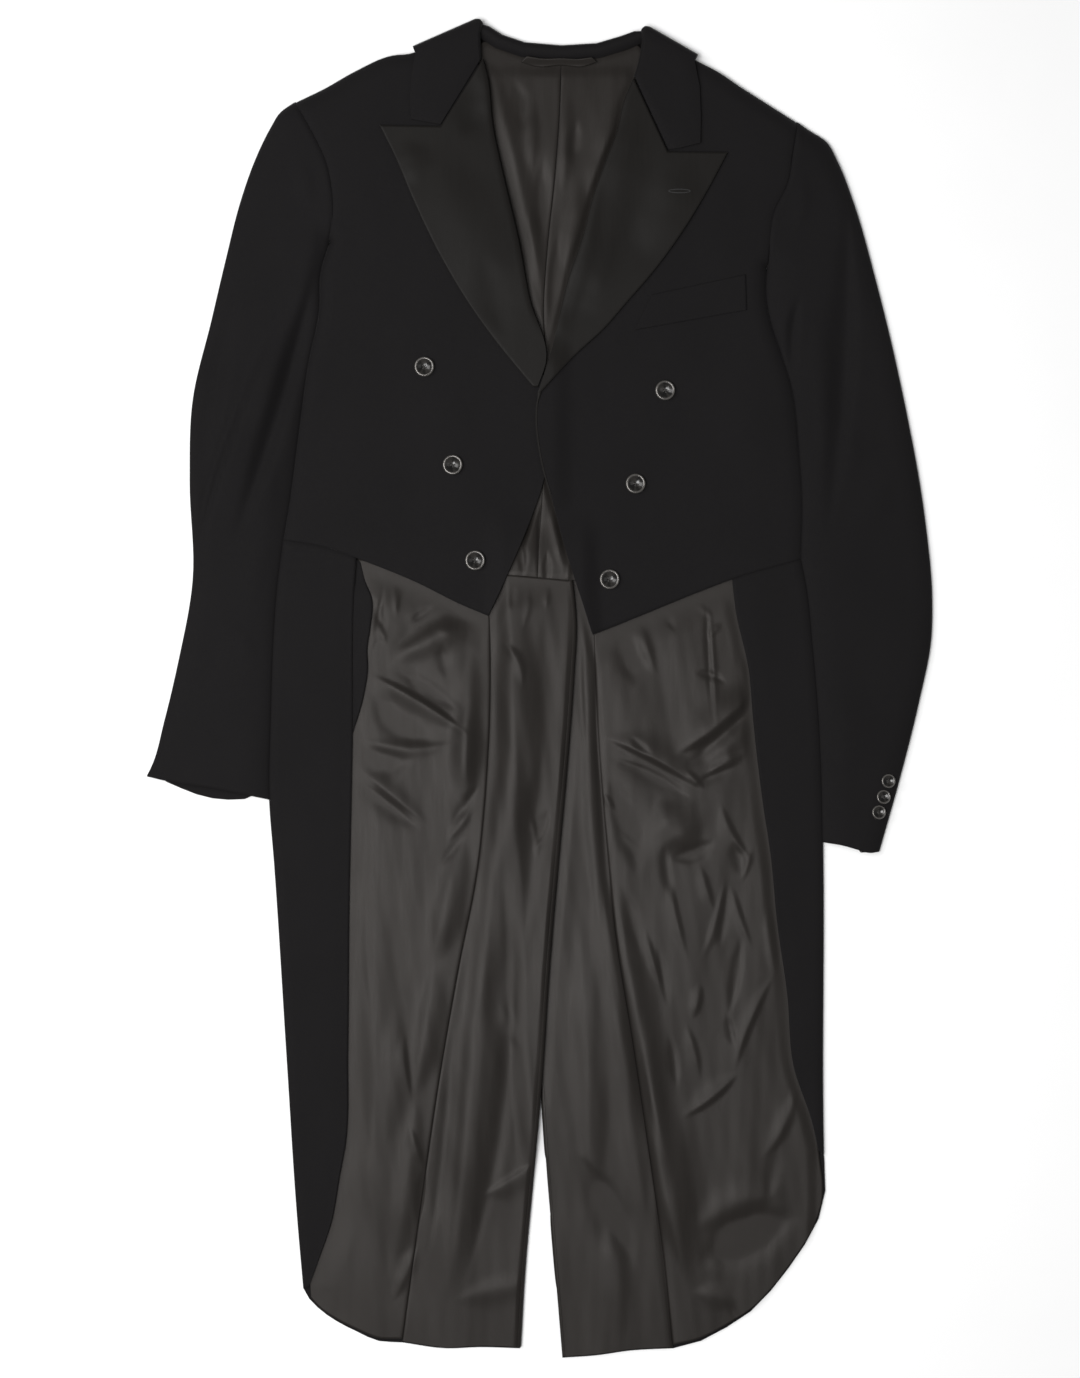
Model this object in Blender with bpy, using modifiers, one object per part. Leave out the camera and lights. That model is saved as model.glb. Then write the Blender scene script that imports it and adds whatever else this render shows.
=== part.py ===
"""A man's evening tailcoat that lies flat on its back, front up.

The scene is in metres, +Z up. Every table and every size below is in millimetres: x towards the
wearer's left, y towards the collar, z up from the table. The wearer's right is side "R", which has
negative x. Each piece of cloth is a curved sheet with a wall, cut between four edges in plan.
"""

import math
from collections import namedtuple

import bmesh
import bpy
import numpy as np

MM = 0.001
SIDES = ("R", "L")
INWARD = {"R": 1, "L": -1}

# Cloth walls
WOOL = 1.6
FRONT_WOOL = 2.2
SLEEVE_WOOL = 2.2
COLLAR_WOOL = 2.0
LINING = 1.0
SATIN = 1.8

# Clearances
SEAM = 0.4
HIDDEN_SEAM = 1.8
LAYER = 0.5
LAPEL_LIFT = 0.7

# Heights of the outer side of the cloth above the table
FOLD = 3.0
WAIST_HEIGHT = 6.2
SHOULDER_RISE = 5.2
SLEEVE_HEIGHT = 7.8
SKIRT_HEIGHT = 5.5
SKIRT_EDGE_HEIGHT = 5.1
COLLAR_HEIGHT = 13.8
VENT_LIFT = 4.2
NECK_LIFT = 2.7
LAP_LIFT = 3.2
PADDED_ABOVE = 6.9
SLEEVE_PADDED_ABOVE = 5.5

# How far a folded panel runs on underneath, and how wide its edges are rounded
SHOULDER_TUCK = 18.0
SLEEVE_TUCK = 15.0
SIDE_TUCK = 6.0
SHOULDER_ROUND = 16.0
SIDE_ROUND = 14.0
SLEEVE_OUTER_ROUND = 18.0
SLEEVE_INNER_ROUND = 26.0
SKIRT_ROUND = 9.0
SIDE_STRIP_TOP = 3.0
SIDE_STRIP = 6.4
ROLL_MARGIN = 5.0
SLEEVE_MARGIN = 1.7
LAPEL_ROLL_ROUND = 8.0
LAPEL_ROLL_DROP = 2.6

# Over what widths the cloth rises where other cloth lies under it
VENT_RAMP = 18.0
VENT_REACH = 26.0
NECK_FLAT = 13.0
NECK_RAMP = 18.0
LAP_RAMP = 20.0

# How much wider the fronts rise over the vent than the cloth under them
UNDER_FRONT_MARGINS = (4.0, 14.0)

# The share of a fold's length over which it rises at each of its ends
FOLD_FADE = 0.25

# Where a front's edges thin out to the cloth's own wall beside the lapel's roll
EDGE_FLAT = 8.0
EDGE_RAMP = 20.0

# Margins that a lining leaves at a free edge
VENT_MARGIN = 3.0
HEM_MARGIN = 3.0

# Buttons
FRONT_BUTTON = 17.0
CUFF_BUTTON = 12.0
BUTTON_STEPS = 14

XY = namedtuple("XY", "x y")


def points(*pairs):
    return [XY(*pair) for pair in pairs]


# Edges in plan, each a smooth curve through x, y points, from the collar down
SHOULDER = {
    "R": points((-61, 559.5), (-78, 552.6), (-101, 541.8), (-112, 538.5), (-124, 537.5),
                (-157, 524), (-183, 509.5), (-208, 497.5)),
    "L": points((97.5, 552.5), (113.2, 545), (129.5, 534.8), (138, 530), (148, 525), (171, 510),
                (195, 495), (218, 480.5)),
}
ARMHOLE = {
    "R": points((-208, 497.5), (-192, 470), (-181, 446), (-176, 419), (-176, 400), (-179, 380)),
    "L": points((218, 480.5), (214, 454), (210, 429), (198, 403), (195, 380), (193, 358)),
}
SIDE_EDGE = {
    "R": points((-179, 380), (-187, 352), (-188, 322), (-197, 278), (-206, 213), (-214, 153),
                (-218.5, 126.5)),
    "L": points((193, 358), (192, 337), (196, 312), (205, 285), (213, 260), (221, 194),
                (223, 165), (222, 109.5)),
}
SKIRT_FOLD = {
    "R": points((-218.6, 125.8), (-224, 83), (-227, 39), (-229, -20), (-230, -95), (-226, -146),
                (-215, -316), (-206, -452), (-201, -509)),
    "L": points((222.1, 108.8), (226, 90), (232, 35), (236, -11), (239, -68), (240.5, -146),
                (240.5, -367), (241, -395)),
}
FRONT_EDGE_ABOVE = {
    "R": points((-61, 559.5), (-57, 548)),
    "L": points((97.5, 552.5), (92, 538)),
}
FRONT_EDGE_BELOW = {
    "R": points((4, 262), (8, 238), (7, 205), (2, 172), (-6, 149), (-28, 96), (-44, 62)),
    "L": points((2, 258), (-3, 230), (3, 186), (9, 165), (22, 117), (45, 46)),
}
FRONT_BOTTOM = {
    "R": points((-44, 62), (-67, 72), (-104, 91), (-142, 107), (-176, 119.6), (-212, 126.3)),
    "L": points((45, 46), (60, 52), (84, 62), (134, 83), (167, 95.5), (200, 105), (215.5, 109.3)),
}
ROLL_LINE = {
    "R": points((-48, 533), (-44, 517), (-40, 478), (-30, 431), (-18, 380), (-9, 332), (5, 277)),
    "L": points((79, 517), (71, 498), (65, 472), (57, 451), (44, 414), (36, 383), (24, 348),
                (9, 284), (4, 268)),
}
LAPEL_TIP = {"R": XY(-2, 256), "L": XY(-1.5, 252)}
LAPEL_EDGE = {
    "R": points((-136, 477), (-124, 453), (-107, 413), (-89, 375), (-68, 338), (-38, 295),
                (-6, 256)),
    "L": points((159, 454), (143, 424), (118, 383), (95, 352), (75, 329), (54, 305), (30, 283),
                (1.5, 252)),
}
NOTCH = {"R": XY(-84, 476), "L": XY(108, 454.5)}
CENTRE_SEAM = points((18, 531), (17, 498), (13, 439), (6, 371), (3, 320), (4, 290), (2, 168),
                     (-1, 121), (-2, 97.5))
NECK_SEAM = {
    "R": points((18, 531), (-15, 535), (-32, 541), (-46, 547)),
    "L": points((18, 531), (51, 534), (71, 539), (82, 544)),
}
BACK_SEAM = {
    "R": points((-176, 393), (-150, 330), (-112, 245), (-72, 170), (-45, 102)),
    "L": points((194, 372), (165, 318), (120, 240), (77, 165), (46, 99)),
}
TAIL_SEAM = {
    "R": points((-45, 98.5), (-42.5, 50), (-44, -57), (-54, -161), (-68, -232), (-85, -329),
                (-103, -453), (-117, -555)),
    "L": points((46, 95.5), (46, 46), (50, -45), (57, -134), (65, -212), (79, -300), (90, -374),
                (105, -482), (113, -560)),
}
VENT = {
    "R": points((27, 92), (30, 57), (28, 12), (23, -57), (16, -134), (7, -241), (0, -345),
                (-6, -414), (-13, -492), (-17, -560)),
    "L": points((-18, 92), (-13, -20), (-7, -140), (2, -355), (6, -414), (11, -472), (19, -568)),
}
TAIL_HEM = {
    "R": points((-17, -560), (-51, -559), (-81, -560), (-117, -555)),
    "L": points((19, -568), (48, -566), (76, -562), (113, -560)),
}
SKIRT_HEM = {
    "R": points((-117, -555), (-140, -553), (-153, -547), (-171, -538), (-187, -527), (-196, -518)),
    "L": points((113, -560), (136, -554), (162, -540), (181, -527), (201, -505), (218, -482),
                (234, -456), (241, -436), (242.5, -418), (241.5, -402)),
}
SKIRT_FRONT = {
    "R": points((-156, 111), (-158, 80), (-159, -34), (-162, -193), (-163, -309), (-165, -387),
                (-170, -414), (-177, -453), (-187, -482), (-196, -507)),
    "L": points((163, 93), (166, 67), (177, 17), (181, -28), (189, -96), (196, -143),
                (201, -196), (210, -261), (215, -319), (231, -368), (236.5, -392)),
}
LINING_EDGE = {
    "R": points((-169, 112), (-173, 35), (-175, -161), (-176, -309), (-179, -387), (-183, -425),
                (-189, -465), (-194, -500), (-191, -518)),
    "L": points((174, 96), (184, 40), (194, -28), (208, -143), (222, -261), (230, -330),
                (234, -372), (235.5, -400), (237.5, -425), (236, -445), (224, -467), (203, -497)),
}
LINING_HEM = {
    "R": points((-116, -552), (-139, -549), (-153, -543), (-171, -534), (-191, -518)),
    "L": points((113, -557), (135, -551), (160, -537), (179, -524), (203, -497)),
}
WAIST_UNDER = {
    "R": points((-45, 98.5), (-130, 111), (-218.5, 124)),
    "L": points((46, 95.5), (130, 101), (222, 107)),
}
SLEEVE_OUTER = {
    "R": points((-209.2, 497.7), (-221, 489), (-228.5, 477), (-242, 449), (-254, 415), (-267, 364),
                (-279, 313), (-295, 245), (-297.5, 177), (-295, 92), (-307, 24), (-319, -27),
                (-330, -66), (-334, -74)),
    "L": points((219.2, 480.7), (227, 475), (243.5, 464), (253, 447), (265.5, 415), (285, 347),
                (309, 245), (327, 143), (333, 75), (332, 41), (322, -10), (305, -78),
                (288, -138)),
}
CUFF_TOP = {
    "R": points((-334, -74), (-317, -78), (-280, -84), (-255, -89), (-231.5, -94)),
    "L": points((288, -138), (280, -139), (269, -136), (259, -133), (241.7, -130)),
}
CUFF_UNDER = {
    "R": points((-317, -79), (-302, -85.5), (-285, -91.5), (-267, -94), (-251, -93.5)),
    "L": points((270, -136), (266, -134.6), (262, -132.8)),
}
# Where the folds of the linings may start, below the lower edge of the fronts
UNDER_FRONTS = points((-170, 112), (-100, 86), (-50, 58), (-36, 74), (-27, 96), (27, 96), (36, 70),
                      (45, 42), (100, 66), (170, 92))
# The collar's shoulder ends, on the coat's outline
COLLAR_TURN = {
    "R": points((-51, 570), (-108, 545)),
    "L": points((89, 564), (134, 538)),
}
# The collar's fall where it lies under the neck, one row across it for each station
Station = namedtuple("Station", "fold_x fold_y edge_x edge_y")
COLLAR_LEAF = {
    "R": (
        Station(-49.5, 534, -84.3, 477.6),
        Station(-49.8, 541, -109, 482),
        Station(-50.3, 549, -110, 500),
        Station(-50.3, 556, -108.5, 520),
    ),
    "L": (
        Station(79.6, 519, 108.8, 456.4),
        Station(81.3, 524, 118, 457.6),
        Station(83, 530, 135.6, 462),
        Station(85, 540, 136, 485),
        Station(86.5, 549, 135, 510),
    ),
}
COLLAR_BACK = (
    Station(-43, 562, -88, 512),
    Station(-32, 555, -58, 501),
    Station(-13, 548.6, -22, 500),
    Station(18, 546, 18, 499),
    Station(48, 547.8, 57, 500),
    Station(69, 554, 92, 509),
    Station(80, 558, 118, 522),
)
NECK_ZONE = points((-51, 570), (-108, 545), (-105, 538), (-88, 512), (-58, 501), (-22, 500),
                   (18, 499), (57, 500), (92, 509), (118, 522), (131, 532), (134, 538), (89, 564),
                   (69, 555), (18, 546), (-34, 556))

# A fold is a bump along a line from x0, y0 to x1, y1, bowed at its middle and as wide as left and
# right of that line, seen in its direction
Fold = namedtuple("Fold", "x0 y0 x1 y1 bow left right height")
SLEEVE_FOLDS = {
    "R": (
        Fold(-190, 372, -238, 190, -6, 12, 14, 1.6),
        Fold(-216, 320, -292, 106, -5, 44, 5, 3.6),
        Fold(-262, 300, -284, 200, 3, 12, 14, 0.9),
        Fold(-255, 60, -285, -60, 0, 22, 22, 0.8),
    ),
    "L": (
        Fold(214, 334, 206, 262, -6, 8, 8, 1.6),
        Fold(268, 405, 262, 240, 6, 16, 16, -1.2),
        Fold(300, 190, 246, 120, 8, 14, 14, 0.9),
        Fold(262, 30, 255, -90, 2, 16, 16, 0.7),
    ),
}
FRONT_FOLDS = {
    "R": (
        Fold(-70, 470, -150, 330, 0, 40, 40, 0.9),
        Fold(-150, 300, -175, 160, 6, 26, 26, 0.8),
        Fold(-60, 230, -75, 110, 0, 24, 24, 0.6),
    ),
    "L": (
        Fold(150, 440, 165, 330, 0, 30, 24, 0.9),
        Fold(178, 300, 188, 170, -6, 22, 22, 0.8),
        Fold(70, 230, 62, 100, 0, 24, 24, 0.6),
    ),
}
LINING_FOLDS = {
    "R": (
        Fold(-152, 16, -60, -38, 6, 9, 16, 3.6),
        Fold(-112, 56, -86, 78, 0, 6, 8, 1.2),
        Fold(-122, -150, -130, -308, -17, 8, 14, 2.4),
        Fold(-26, 62, -36, -190, 2, 8, 8, 3.4),
        Fold(12, 62, -12, -350, 4, 10, 9, 3.4),
        Fold(-46, 20, -114, -540, 12, 5, 14, 2.2),
        Fold(-60, -230, -62, -520, -6, 12, 12, 2.2),
        Fold(-20, -300, -36, -540, 0, 9, 11, 2.4),
        Fold(-150, -90, -112, -190, 4, 10, 8, 1.8),
        Fold(-140, -400, -118, -520, 4, 14, 10, 1.8),
        Fold(-100, -60, -72, -130, 0, 9, 12, 1.6),
    ),
    "L": (
        Fold(184, -22, 112, -68, -4, 9, 14, 3.8),
        Fold(38, 40, 44, -310, -4, 8, 5, 3.2),
        Fold(46, 30, 112, -540, -10, 14, 4, 3.2),
        Fold(196, -324, 120, -364, 3, 8, 12, 2.2),
        Fold(92, -40, 96, -250, -5, 9, 9, 1.8),
        Fold(134, -96, 122, -300, 7, 10, 8, 2.0),
        Fold(166, -90, 158, -240, -4, 8, 9, 1.6),
        Fold(70, -250, 84, -470, 3, 9, 9, 2.0),
        Fold(28, -330, 40, -540, 3, 8, 9, 2.0),
        Fold(150, -390, 128, -520, 0, 14, 11, 1.8),
        Fold(200, -250, 190, -420, 4, 9, 9, 1.5),
        Fold(84, 50, 72, -60, 3, 10, 9, 1.5),
    ),
}

# Where a panel's columns and rows of points lie, as shares of its width and length
FRONT_ACROSS = (0, 0.05, 0.12, 0.24, 0.4, 0.57, 0.74, 0.88, 0.96, 1)
SLEEVE_ACROSS = (0, 0.03, 0.1, 0.22, 0.38, 0.55, 0.72, 0.86, 0.96, 1)
SIDE_DOWN = (0.012, 0.05, 0.12, 0.2, 0.28, 0.37, 0.46, 0.56, 0.66, 0.75, 0.84, 0.92, 1)
BACK_ACROSS = (0, 0.1, 0.22, 0.34, 0.48, 0.62, 0.8, 1)
BACK_DOWN = (0, 0.025, 0.05, 0.075, 0.1, 0.15, 0.22, 0.32, 0.44, 0.56, 0.68, 0.8, 0.87, 0.91, 0.95,
             1)
LAPEL_ACROSS = (0, 0.15, 0.3, 0.44, 0.6, 0.75, 0.87, 0.95, 1)
LAPEL_CORNER = 0.44
SLEEVE_ROWS = 19
SKIRT_ROWS = 20
TAIL_ROWS = 17
LAPEL_ROWS = 14
SKIRT_LINING_ACROSS = 9
FOLD_ANGLES = (90, 60, 30)


# Lines and panels in plan


def along(line, share):
    """Points at shares of the length of a line of points."""
    steps = np.linalg.norm(np.diff(line, axis=0), axis=1)
    at = np.concatenate([[0], np.cumsum(steps)])
    share = np.asarray(share, float) * at[-1]
    return np.stack([np.interp(share, at, line[:, axis]) for axis in (0, 1)], axis=-1)


def smooth_line(knots, per_span=8):
    """A smooth curve through the knots, as a line of many points."""
    knots = np.array(knots, float)
    at = np.concatenate([[0], np.cumsum(np.linalg.norm(np.diff(knots, axis=0), axis=1))])
    slopes = np.gradient(knots, at, axis=0)
    made = []
    for i in range(len(knots) - 1):
        span = at[i + 1] - at[i]
        t = np.linspace(0, 1, per_span, endpoint=False)[:, None]
        made.append(
            knots[i] * (1 + 2 * t) * (1 - t) ** 2
            + slopes[i] * span * t * (1 - t) ** 2
            + knots[i + 1] * t * t * (3 - 2 * t)
            + slopes[i + 1] * span * t * t * (t - 1)
        )
    return np.concatenate(made + [knots[-1:]])


def beside(line, distance):
    """The line moved sideways, to its left where the distance is positive."""
    forward = np.gradient(line, axis=0)
    forward /= np.linalg.norm(forward, axis=1, keepdims=True)
    left = np.stack([-forward[:, 1], forward[:, 0]], axis=1)
    return line + left * np.reshape(distance, (-1, 1))


def lengths(line):
    """How far along the line each of its points is."""
    return np.concatenate([[0], np.cumsum(np.linalg.norm(np.diff(line, axis=0), axis=1))])


def span(side_a, side_b, top, bottom, across, down):
    """Points in plan between two sides, which it keeps to, and two ends as curved as these."""
    u = np.reshape(across, (1, -1, 1)).astype(float)
    v = np.reshape(down, (-1, 1, 1)).astype(float)
    top_curve = top[None] - (1 - u) * top[:1] - u * top[-1:]
    bottom_curve = bottom[None] - (1 - u) * bottom[:1] - u * bottom[-1:]
    sides = (1 - u) * side_a[:, None] + u * side_b[:, None]
    return sides + (1 - v) * top_curve + v * bottom_curve


def patch(side_a, side_b, start, end, across, down):
    """Points in plan of a panel between four lines; start and end run from side a to side b."""
    return span(
        along(side_a, down), along(side_b, down), along(start, across), along(end, across),
        across, down,
    )


def inset(plan, first_column=0, last_column=0, first_row=0, last_row=0):
    """The same panel with its outer columns and rows moved in by these distances."""
    plan = plan.copy()
    for margin, edge, inner in (
        (first_column, np.s_[:, 0], np.s_[:, 1]),
        (last_column, np.s_[:, -1], np.s_[:, -2]),
        (first_row, np.s_[0], np.s_[1]),
        (last_row, np.s_[-1], np.s_[-2]),
    ):
        if margin:
            way = plan[inner] - plan[edge]
            way /= np.linalg.norm(way, axis=1, keepdims=True)
            plan[edge] = plan[edge] + way * margin
    return plan


# Heights


def smooth_step(value):
    """Rises from 0 to 1 as the value goes from 0 to 1."""
    value = np.clip(value, 0, 1)
    return value * value * (3 - 2 * value)


def distance_to(line, x, y):
    """How far each x, y is from a line of points."""
    nearest = np.full(np.shape(x), np.inf)
    for (ax, ay), (bx, by) in zip(line[:-1], line[1:]):
        dx, dy = bx - ax, by - ay
        share = np.clip(((x - ax) * dx + (y - ay) * dy) / (dx * dx + dy * dy), 0, 1)
        nearest = np.minimum(nearest, np.hypot(x - ax - share * dx, y - ay - share * dy))
    return nearest


def inside(line, x, y):
    """Whether each x, y is inside a closed outline."""
    found = np.zeros(np.shape(x), bool)
    for (ax, ay), (bx, by) in zip(line, np.roll(line, -1, axis=0)):
        if ay != by:
            crosses = ((ay > y) != (by > y)) & (x < (bx - ax) * (y - ay) / (by - ay) + ax)
            found ^= crosses
    return found


def fold_height(rows, x, y):
    """The sum of the folds in a table."""
    total = np.zeros(np.shape(x))
    for row in rows:
        dx, dy = row.x1 - row.x0, row.y1 - row.y0
        length = math.hypot(dx, dy)
        share = ((x - row.x0) * dx + (y - row.y0) * dy) / length**2
        aside = (dx * (y - row.y0) - dy * (x - row.x0)) / length
        aside = aside - row.bow * 4 * share * (1 - share)
        width = np.where(aside > 0, row.left, row.right)
        ends = smooth_step(share / FOLD_FADE) * smooth_step((1 - share) / FOLD_FADE)
        total = total + row.height * ends * np.exp(-((aside / width) ** 2))
    return total


def round_off(distance, width):
    """Rises from 0 at an edge to 1 at this width from it, as a quarter of an ellipse."""
    share = np.clip(distance / width, 0, 1)
    return np.sqrt(1 - (1 - share) ** 2)


def vent_lift(x, y, margin=0.0, margin_above=0.0):
    """How far the right tail lies above the table, where the left tail is under it."""
    under, over = (smooth_line(VENT[side])[::-1] for side in ("L", "R"))
    hidden_edge = np.interp(y, under[:, 1], under[:, 0])
    vent_edge = np.interp(y, over[:, 1], over[:, 0])
    near = smooth_step((x - hidden_edge + VENT_REACH + margin) / VENT_RAMP)
    beyond = 1 - smooth_step((x - vent_edge - 3 - margin) / VENT_RAMP)
    ends = smooth_step((142 + margin_above - y) / 38) * smooth_step((y + 430) / 60)
    return VENT_LIFT * near * beyond * ends


def neck_lift(x, y):
    """How far the coat lies above the table, where the collar is under it."""
    zone = np.array(NECK_ZONE, float)
    away = distance_to(np.concatenate([zone, zone[:1]]), x, y)
    away = np.where(inside(zone, x, y), 0, away)
    return NECK_LIFT * (1 - smooth_step((away - NECK_FLAT) / NECK_RAMP))


def back_level(side, x, y):
    """The height of the outer side of the back."""
    return neck_lift(x, y) + (vent_lift(x, y) if side == "R" else 0)


def lap_lift(side, x, y):
    """How far the left front lies higher where it laps over the right one."""
    if side == "R":
        return np.zeros(np.shape(x))
    over = 1 - smooth_step((x - 10) / LAP_RAMP)
    return LAP_LIFT * over * smooth_step((y - 140) / 26) * smooth_step((302 - y) / 30)


def chest_height(side, x, y):
    """The height of the front's outer side before its edges are rounded."""
    height = WAIST_HEIGHT + SHOULDER_RISE * smooth_step((y - 150) / 330)
    height = height + vent_lift(x, y, *UNDER_FRONT_MARGINS) + lap_lift(side, x, y)
    return height + fold_height(FRONT_FOLDS[side], x, y)


def front_height(side, x, y):
    """The height of the front's outer side."""
    low = neck_lift(x, y) + FOLD
    rounded = round_off(distance_to(smooth_line(SHOULDER[side]), x, y), SHOULDER_ROUND)
    rounded = rounded * round_off(distance_to(smooth_line(SIDE_EDGE[side]), x, y), SIDE_ROUND)
    return low + (chest_height(side, x, y) - low) * rounded


def sleeve_height(side, x, y):
    """The height of the sleeve's outer side."""
    near_body = 1 - smooth_step(distance_to(smooth_line(ARMHOLE[side]), x, y) / 120)
    height = SLEEVE_HEIGHT + (chest_height(side, x, y) - SLEEVE_HEIGHT) * near_body
    height = height + fold_height(SLEEVE_FOLDS[side], x, y)
    outer = round_off(distance_to(smooth_line(SLEEVE_OUTER[side]), x, y), SLEEVE_OUTER_ROUND)
    inner = round_off(distance_to(sleeve_inner(side), x, y), SLEEVE_INNER_ROUND)
    return FOLD + (height - FOLD) * outer * inner


def skirt_height(side, x, y):
    """The height of the part of the skirt that is folded over the front."""
    from_fold = distance_to(smooth_line(SKIRT_FOLD[side]), x, y)
    from_edge = distance_to(smooth_line(SKIRT_FRONT[side]), x, y)
    height = SKIRT_EDGE_HEIGHT + (SKIRT_HEIGHT - SKIRT_EDGE_HEIGHT) * smooth_step(from_edge / 15)
    below_waist = smooth_step((y - 60) / 60)
    height = height + (WAIST_HEIGHT - height) * below_waist
    return FOLD + (height - FOLD) * round_off(from_fold, SKIRT_ROUND)


def lining_waves(side, x, y):
    """The folds of the linings, which die out under the fronts, the skirts and the vent."""
    start = np.interp(x, [p.x for p in UNDER_FRONTS], [p.y for p in UNDER_FRONTS])
    shown = smooth_step((start - 3 - y) / 16)
    skirt_edge = smooth_line(SKIRT_FRONT[side])[::-1]
    edge_x = np.interp(y, skirt_edge[:, 1], skirt_edge[:, 0])
    shown = shown * smooth_step((INWARD[side] * (x - edge_x) - 1) / 12)
    vent_edge = smooth_line(VENT["R"])[::-1]
    vent_x = np.interp(y, vent_edge[:, 1], vent_edge[:, 0])
    if side == "R":
        shown = shown * smooth_step((vent_x - x) / 6)
    else:
        below = smooth_step((-330 - y) / 30)
        shown = shown * np.maximum(smooth_step((x - vent_x - 4) / 8), below)
    return np.maximum(fold_height(LINING_FOLDS[side], x, y), 0) * shown


def lining_height(side, level, x, y):
    """The height of a lining's upper side over wool whose outer side is at this level."""
    return level + WOOL + LAYER + LINING + lining_waves(side, x, y)


# Cloth as solids


def as_grid(plan, height):
    return np.concatenate([plan, np.broadcast_to(height, plan.shape[:2])[..., None]], axis=2)


def under_edge(plan, tuck, floor=0.0, straight=False):
    """The columns that carry a panel round its first column and run on under it.

    The cloth ends after the tuck or, if straight, on the line between the ends of its ends.
    """
    edge = plan[:, 0]
    away = np.linalg.norm(plan - edge[:, None], axis=2)
    column = np.argmax(away >= min(tuck, away.max(axis=1).min()) * 0.7, axis=1)
    inward = plan[np.arange(len(plan)), column] - edge
    inward /= np.linalg.norm(inward, axis=1, keepdims=True)
    reach = np.full(len(plan), float(tuck))
    if straight:
        ends = (edge + inward * tuck)[[0, -1]]
        square = np.array((ends[0, 1] - ends[1, 1], ends[1, 0] - ends[0, 0]))
        reach = (ends[0] - edge) @ square / (inward @ square)
    places = [(reach, 0.0)]
    for angle in FOLD_ANGLES:
        turn = math.radians(angle)
        places.append((FOLD * (1 - math.cos(turn)), FOLD * (1 - math.sin(turn))))
    columns = []
    for distance, rise in places:
        place = edge + inward * np.reshape(distance, (-1, 1))
        level = floor(place[:, 0], place[:, 1]) if callable(floor) else floor
        columns.append(np.column_stack([place, np.broadcast_to(level, len(place)) + rise]))
    return np.stack(columns, axis=1)


def finish_mesh(name, mesh_maker, wall, material, outside_up=True, weights=None):
    """Links a cloth surface as an object whose Solidify modifier gives it its wall, inwards."""
    mesh = bpy.data.meshes.new(name)
    made = bmesh.new()
    mesh_maker(made)
    bmesh.ops.recalc_face_normals(made, faces=made.faces)
    highest = max(made.faces, key=lambda face: face.calc_center_median().z)
    if (highest.normal.z > 0) != outside_up:
        bmesh.ops.reverse_faces(made, faces=made.faces)
    made.to_mesh(mesh)
    made.free()
    mesh.shade_smooth()
    mesh.set_sharp_from_angle(angle=math.radians(50))
    mesh.materials.append(material)
    cloth = bpy.data.objects.new(name, mesh)
    COAT.objects.link(cloth)
    thick = cloth.modifiers.new("wall", "SOLIDIFY")
    thick.thickness = wall * MM
    thick.offset = -1.0
    if weights is not None:
        group = cloth.vertex_groups.new(name="wall")
        for index, weight in enumerate(weights):
            group.add([index], float(weight), "REPLACE")
        thick.vertex_group = group.name
        thick.thickness_vertex_group = 0.0
    return cloth


def add_cloth(name, grid, wall, material, outside_up=True):
    """A sheet from a grid of points of its outer side; the wall is one size or one for each."""
    rows, columns = grid.shape[:2]
    walls = np.broadcast_to(wall, (rows, columns))
    thickest = float(walls.max())

    def make(made):
        corners = [made.verts.new(place * MM) for place in grid.reshape(-1, 3)]
        for i in range(rows - 1):
            for j in range(columns - 1):
                at = i * columns + j
                made.faces.new(
                    [corners[k] for k in (at, at + 1, at + columns + 1, at + columns)]
                )

    even = np.ptp(walls) == 0
    weights = None if even else (walls / thickest).ravel()
    return finish_mesh(name, make, thickest, material, outside_up, weights)


def add_flat(name, outline, strip, wall, material):
    """A flat underside inside an outline, with a strip of further columns along its first part."""
    rows, columns = (0, 0) if strip is None else strip.shape[:2]

    def make(made):
        corners = []
        if rows:
            corners = [made.verts.new(place * MM) for place in strip.reshape(-1, 3)]
            for i in range(rows - 1):
                for j in range(columns - 1):
                    at = i * columns + j
                    made.faces.new(
                        [corners[k] for k in (at, at + 1, at + columns + 1, at + columns)]
                    )
        rim = [corners[i * columns] for i in range(rows)]
        rim += [made.verts.new((x * MM, y * MM, 0)) for x, y in outline]
        made.faces.new(rim)

    return finish_mesh(name, make, wall, material, outside_up=rows > 0)


# The pieces


def armhole_edge(side, offset):
    """The armhole seam, moved towards the body by this much."""
    return beside(smooth_line(ARMHOLE[side]), INWARD[side] * offset)


def side_strip(side, offset):
    """The line where the front meets the side body, just inside the side fold."""
    edge = smooth_line(SIDE_EDGE[side])
    width = SIDE_STRIP_TOP + (SIDE_STRIP - SIDE_STRIP_TOP) * smooth_step(lengths(edge) / 30)
    return beside(edge, INWARD[side] * (width + offset))


def front_edge(side):
    """The front's edge: hidden under the collar and beside the lapel's roll, then free."""
    roll = beside(smooth_line(ROLL_LINE[side]), -INWARD[side] * ROLL_MARGIN)
    above = smooth_line(FRONT_EDGE_ABOVE[side])
    return np.concatenate([above, roll, smooth_line(FRONT_EDGE_BELOW[side])])


def front_plan(side):
    arm = armhole_edge(side, SEAM / 2)
    strip = side_strip(side, SEAM / 2)
    outer = np.concatenate([arm, strip])
    strip_start = lengths(outer)[len(arm)]
    shares = [
        np.array(SLEEVE_ACROSS) * lengths(arm)[-1],
        np.array((0,) + SIDE_DOWN) * lengths(strip)[-1] + strip_start,
    ]
    down = np.concatenate(shares) / shares[1][-1]
    bottom = smooth_line(FRONT_BOTTOM[side])
    top = smooth_line(SHOULDER[side])
    return patch(front_edge(side), outer, top, bottom, FRONT_ACROSS, down)


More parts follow.
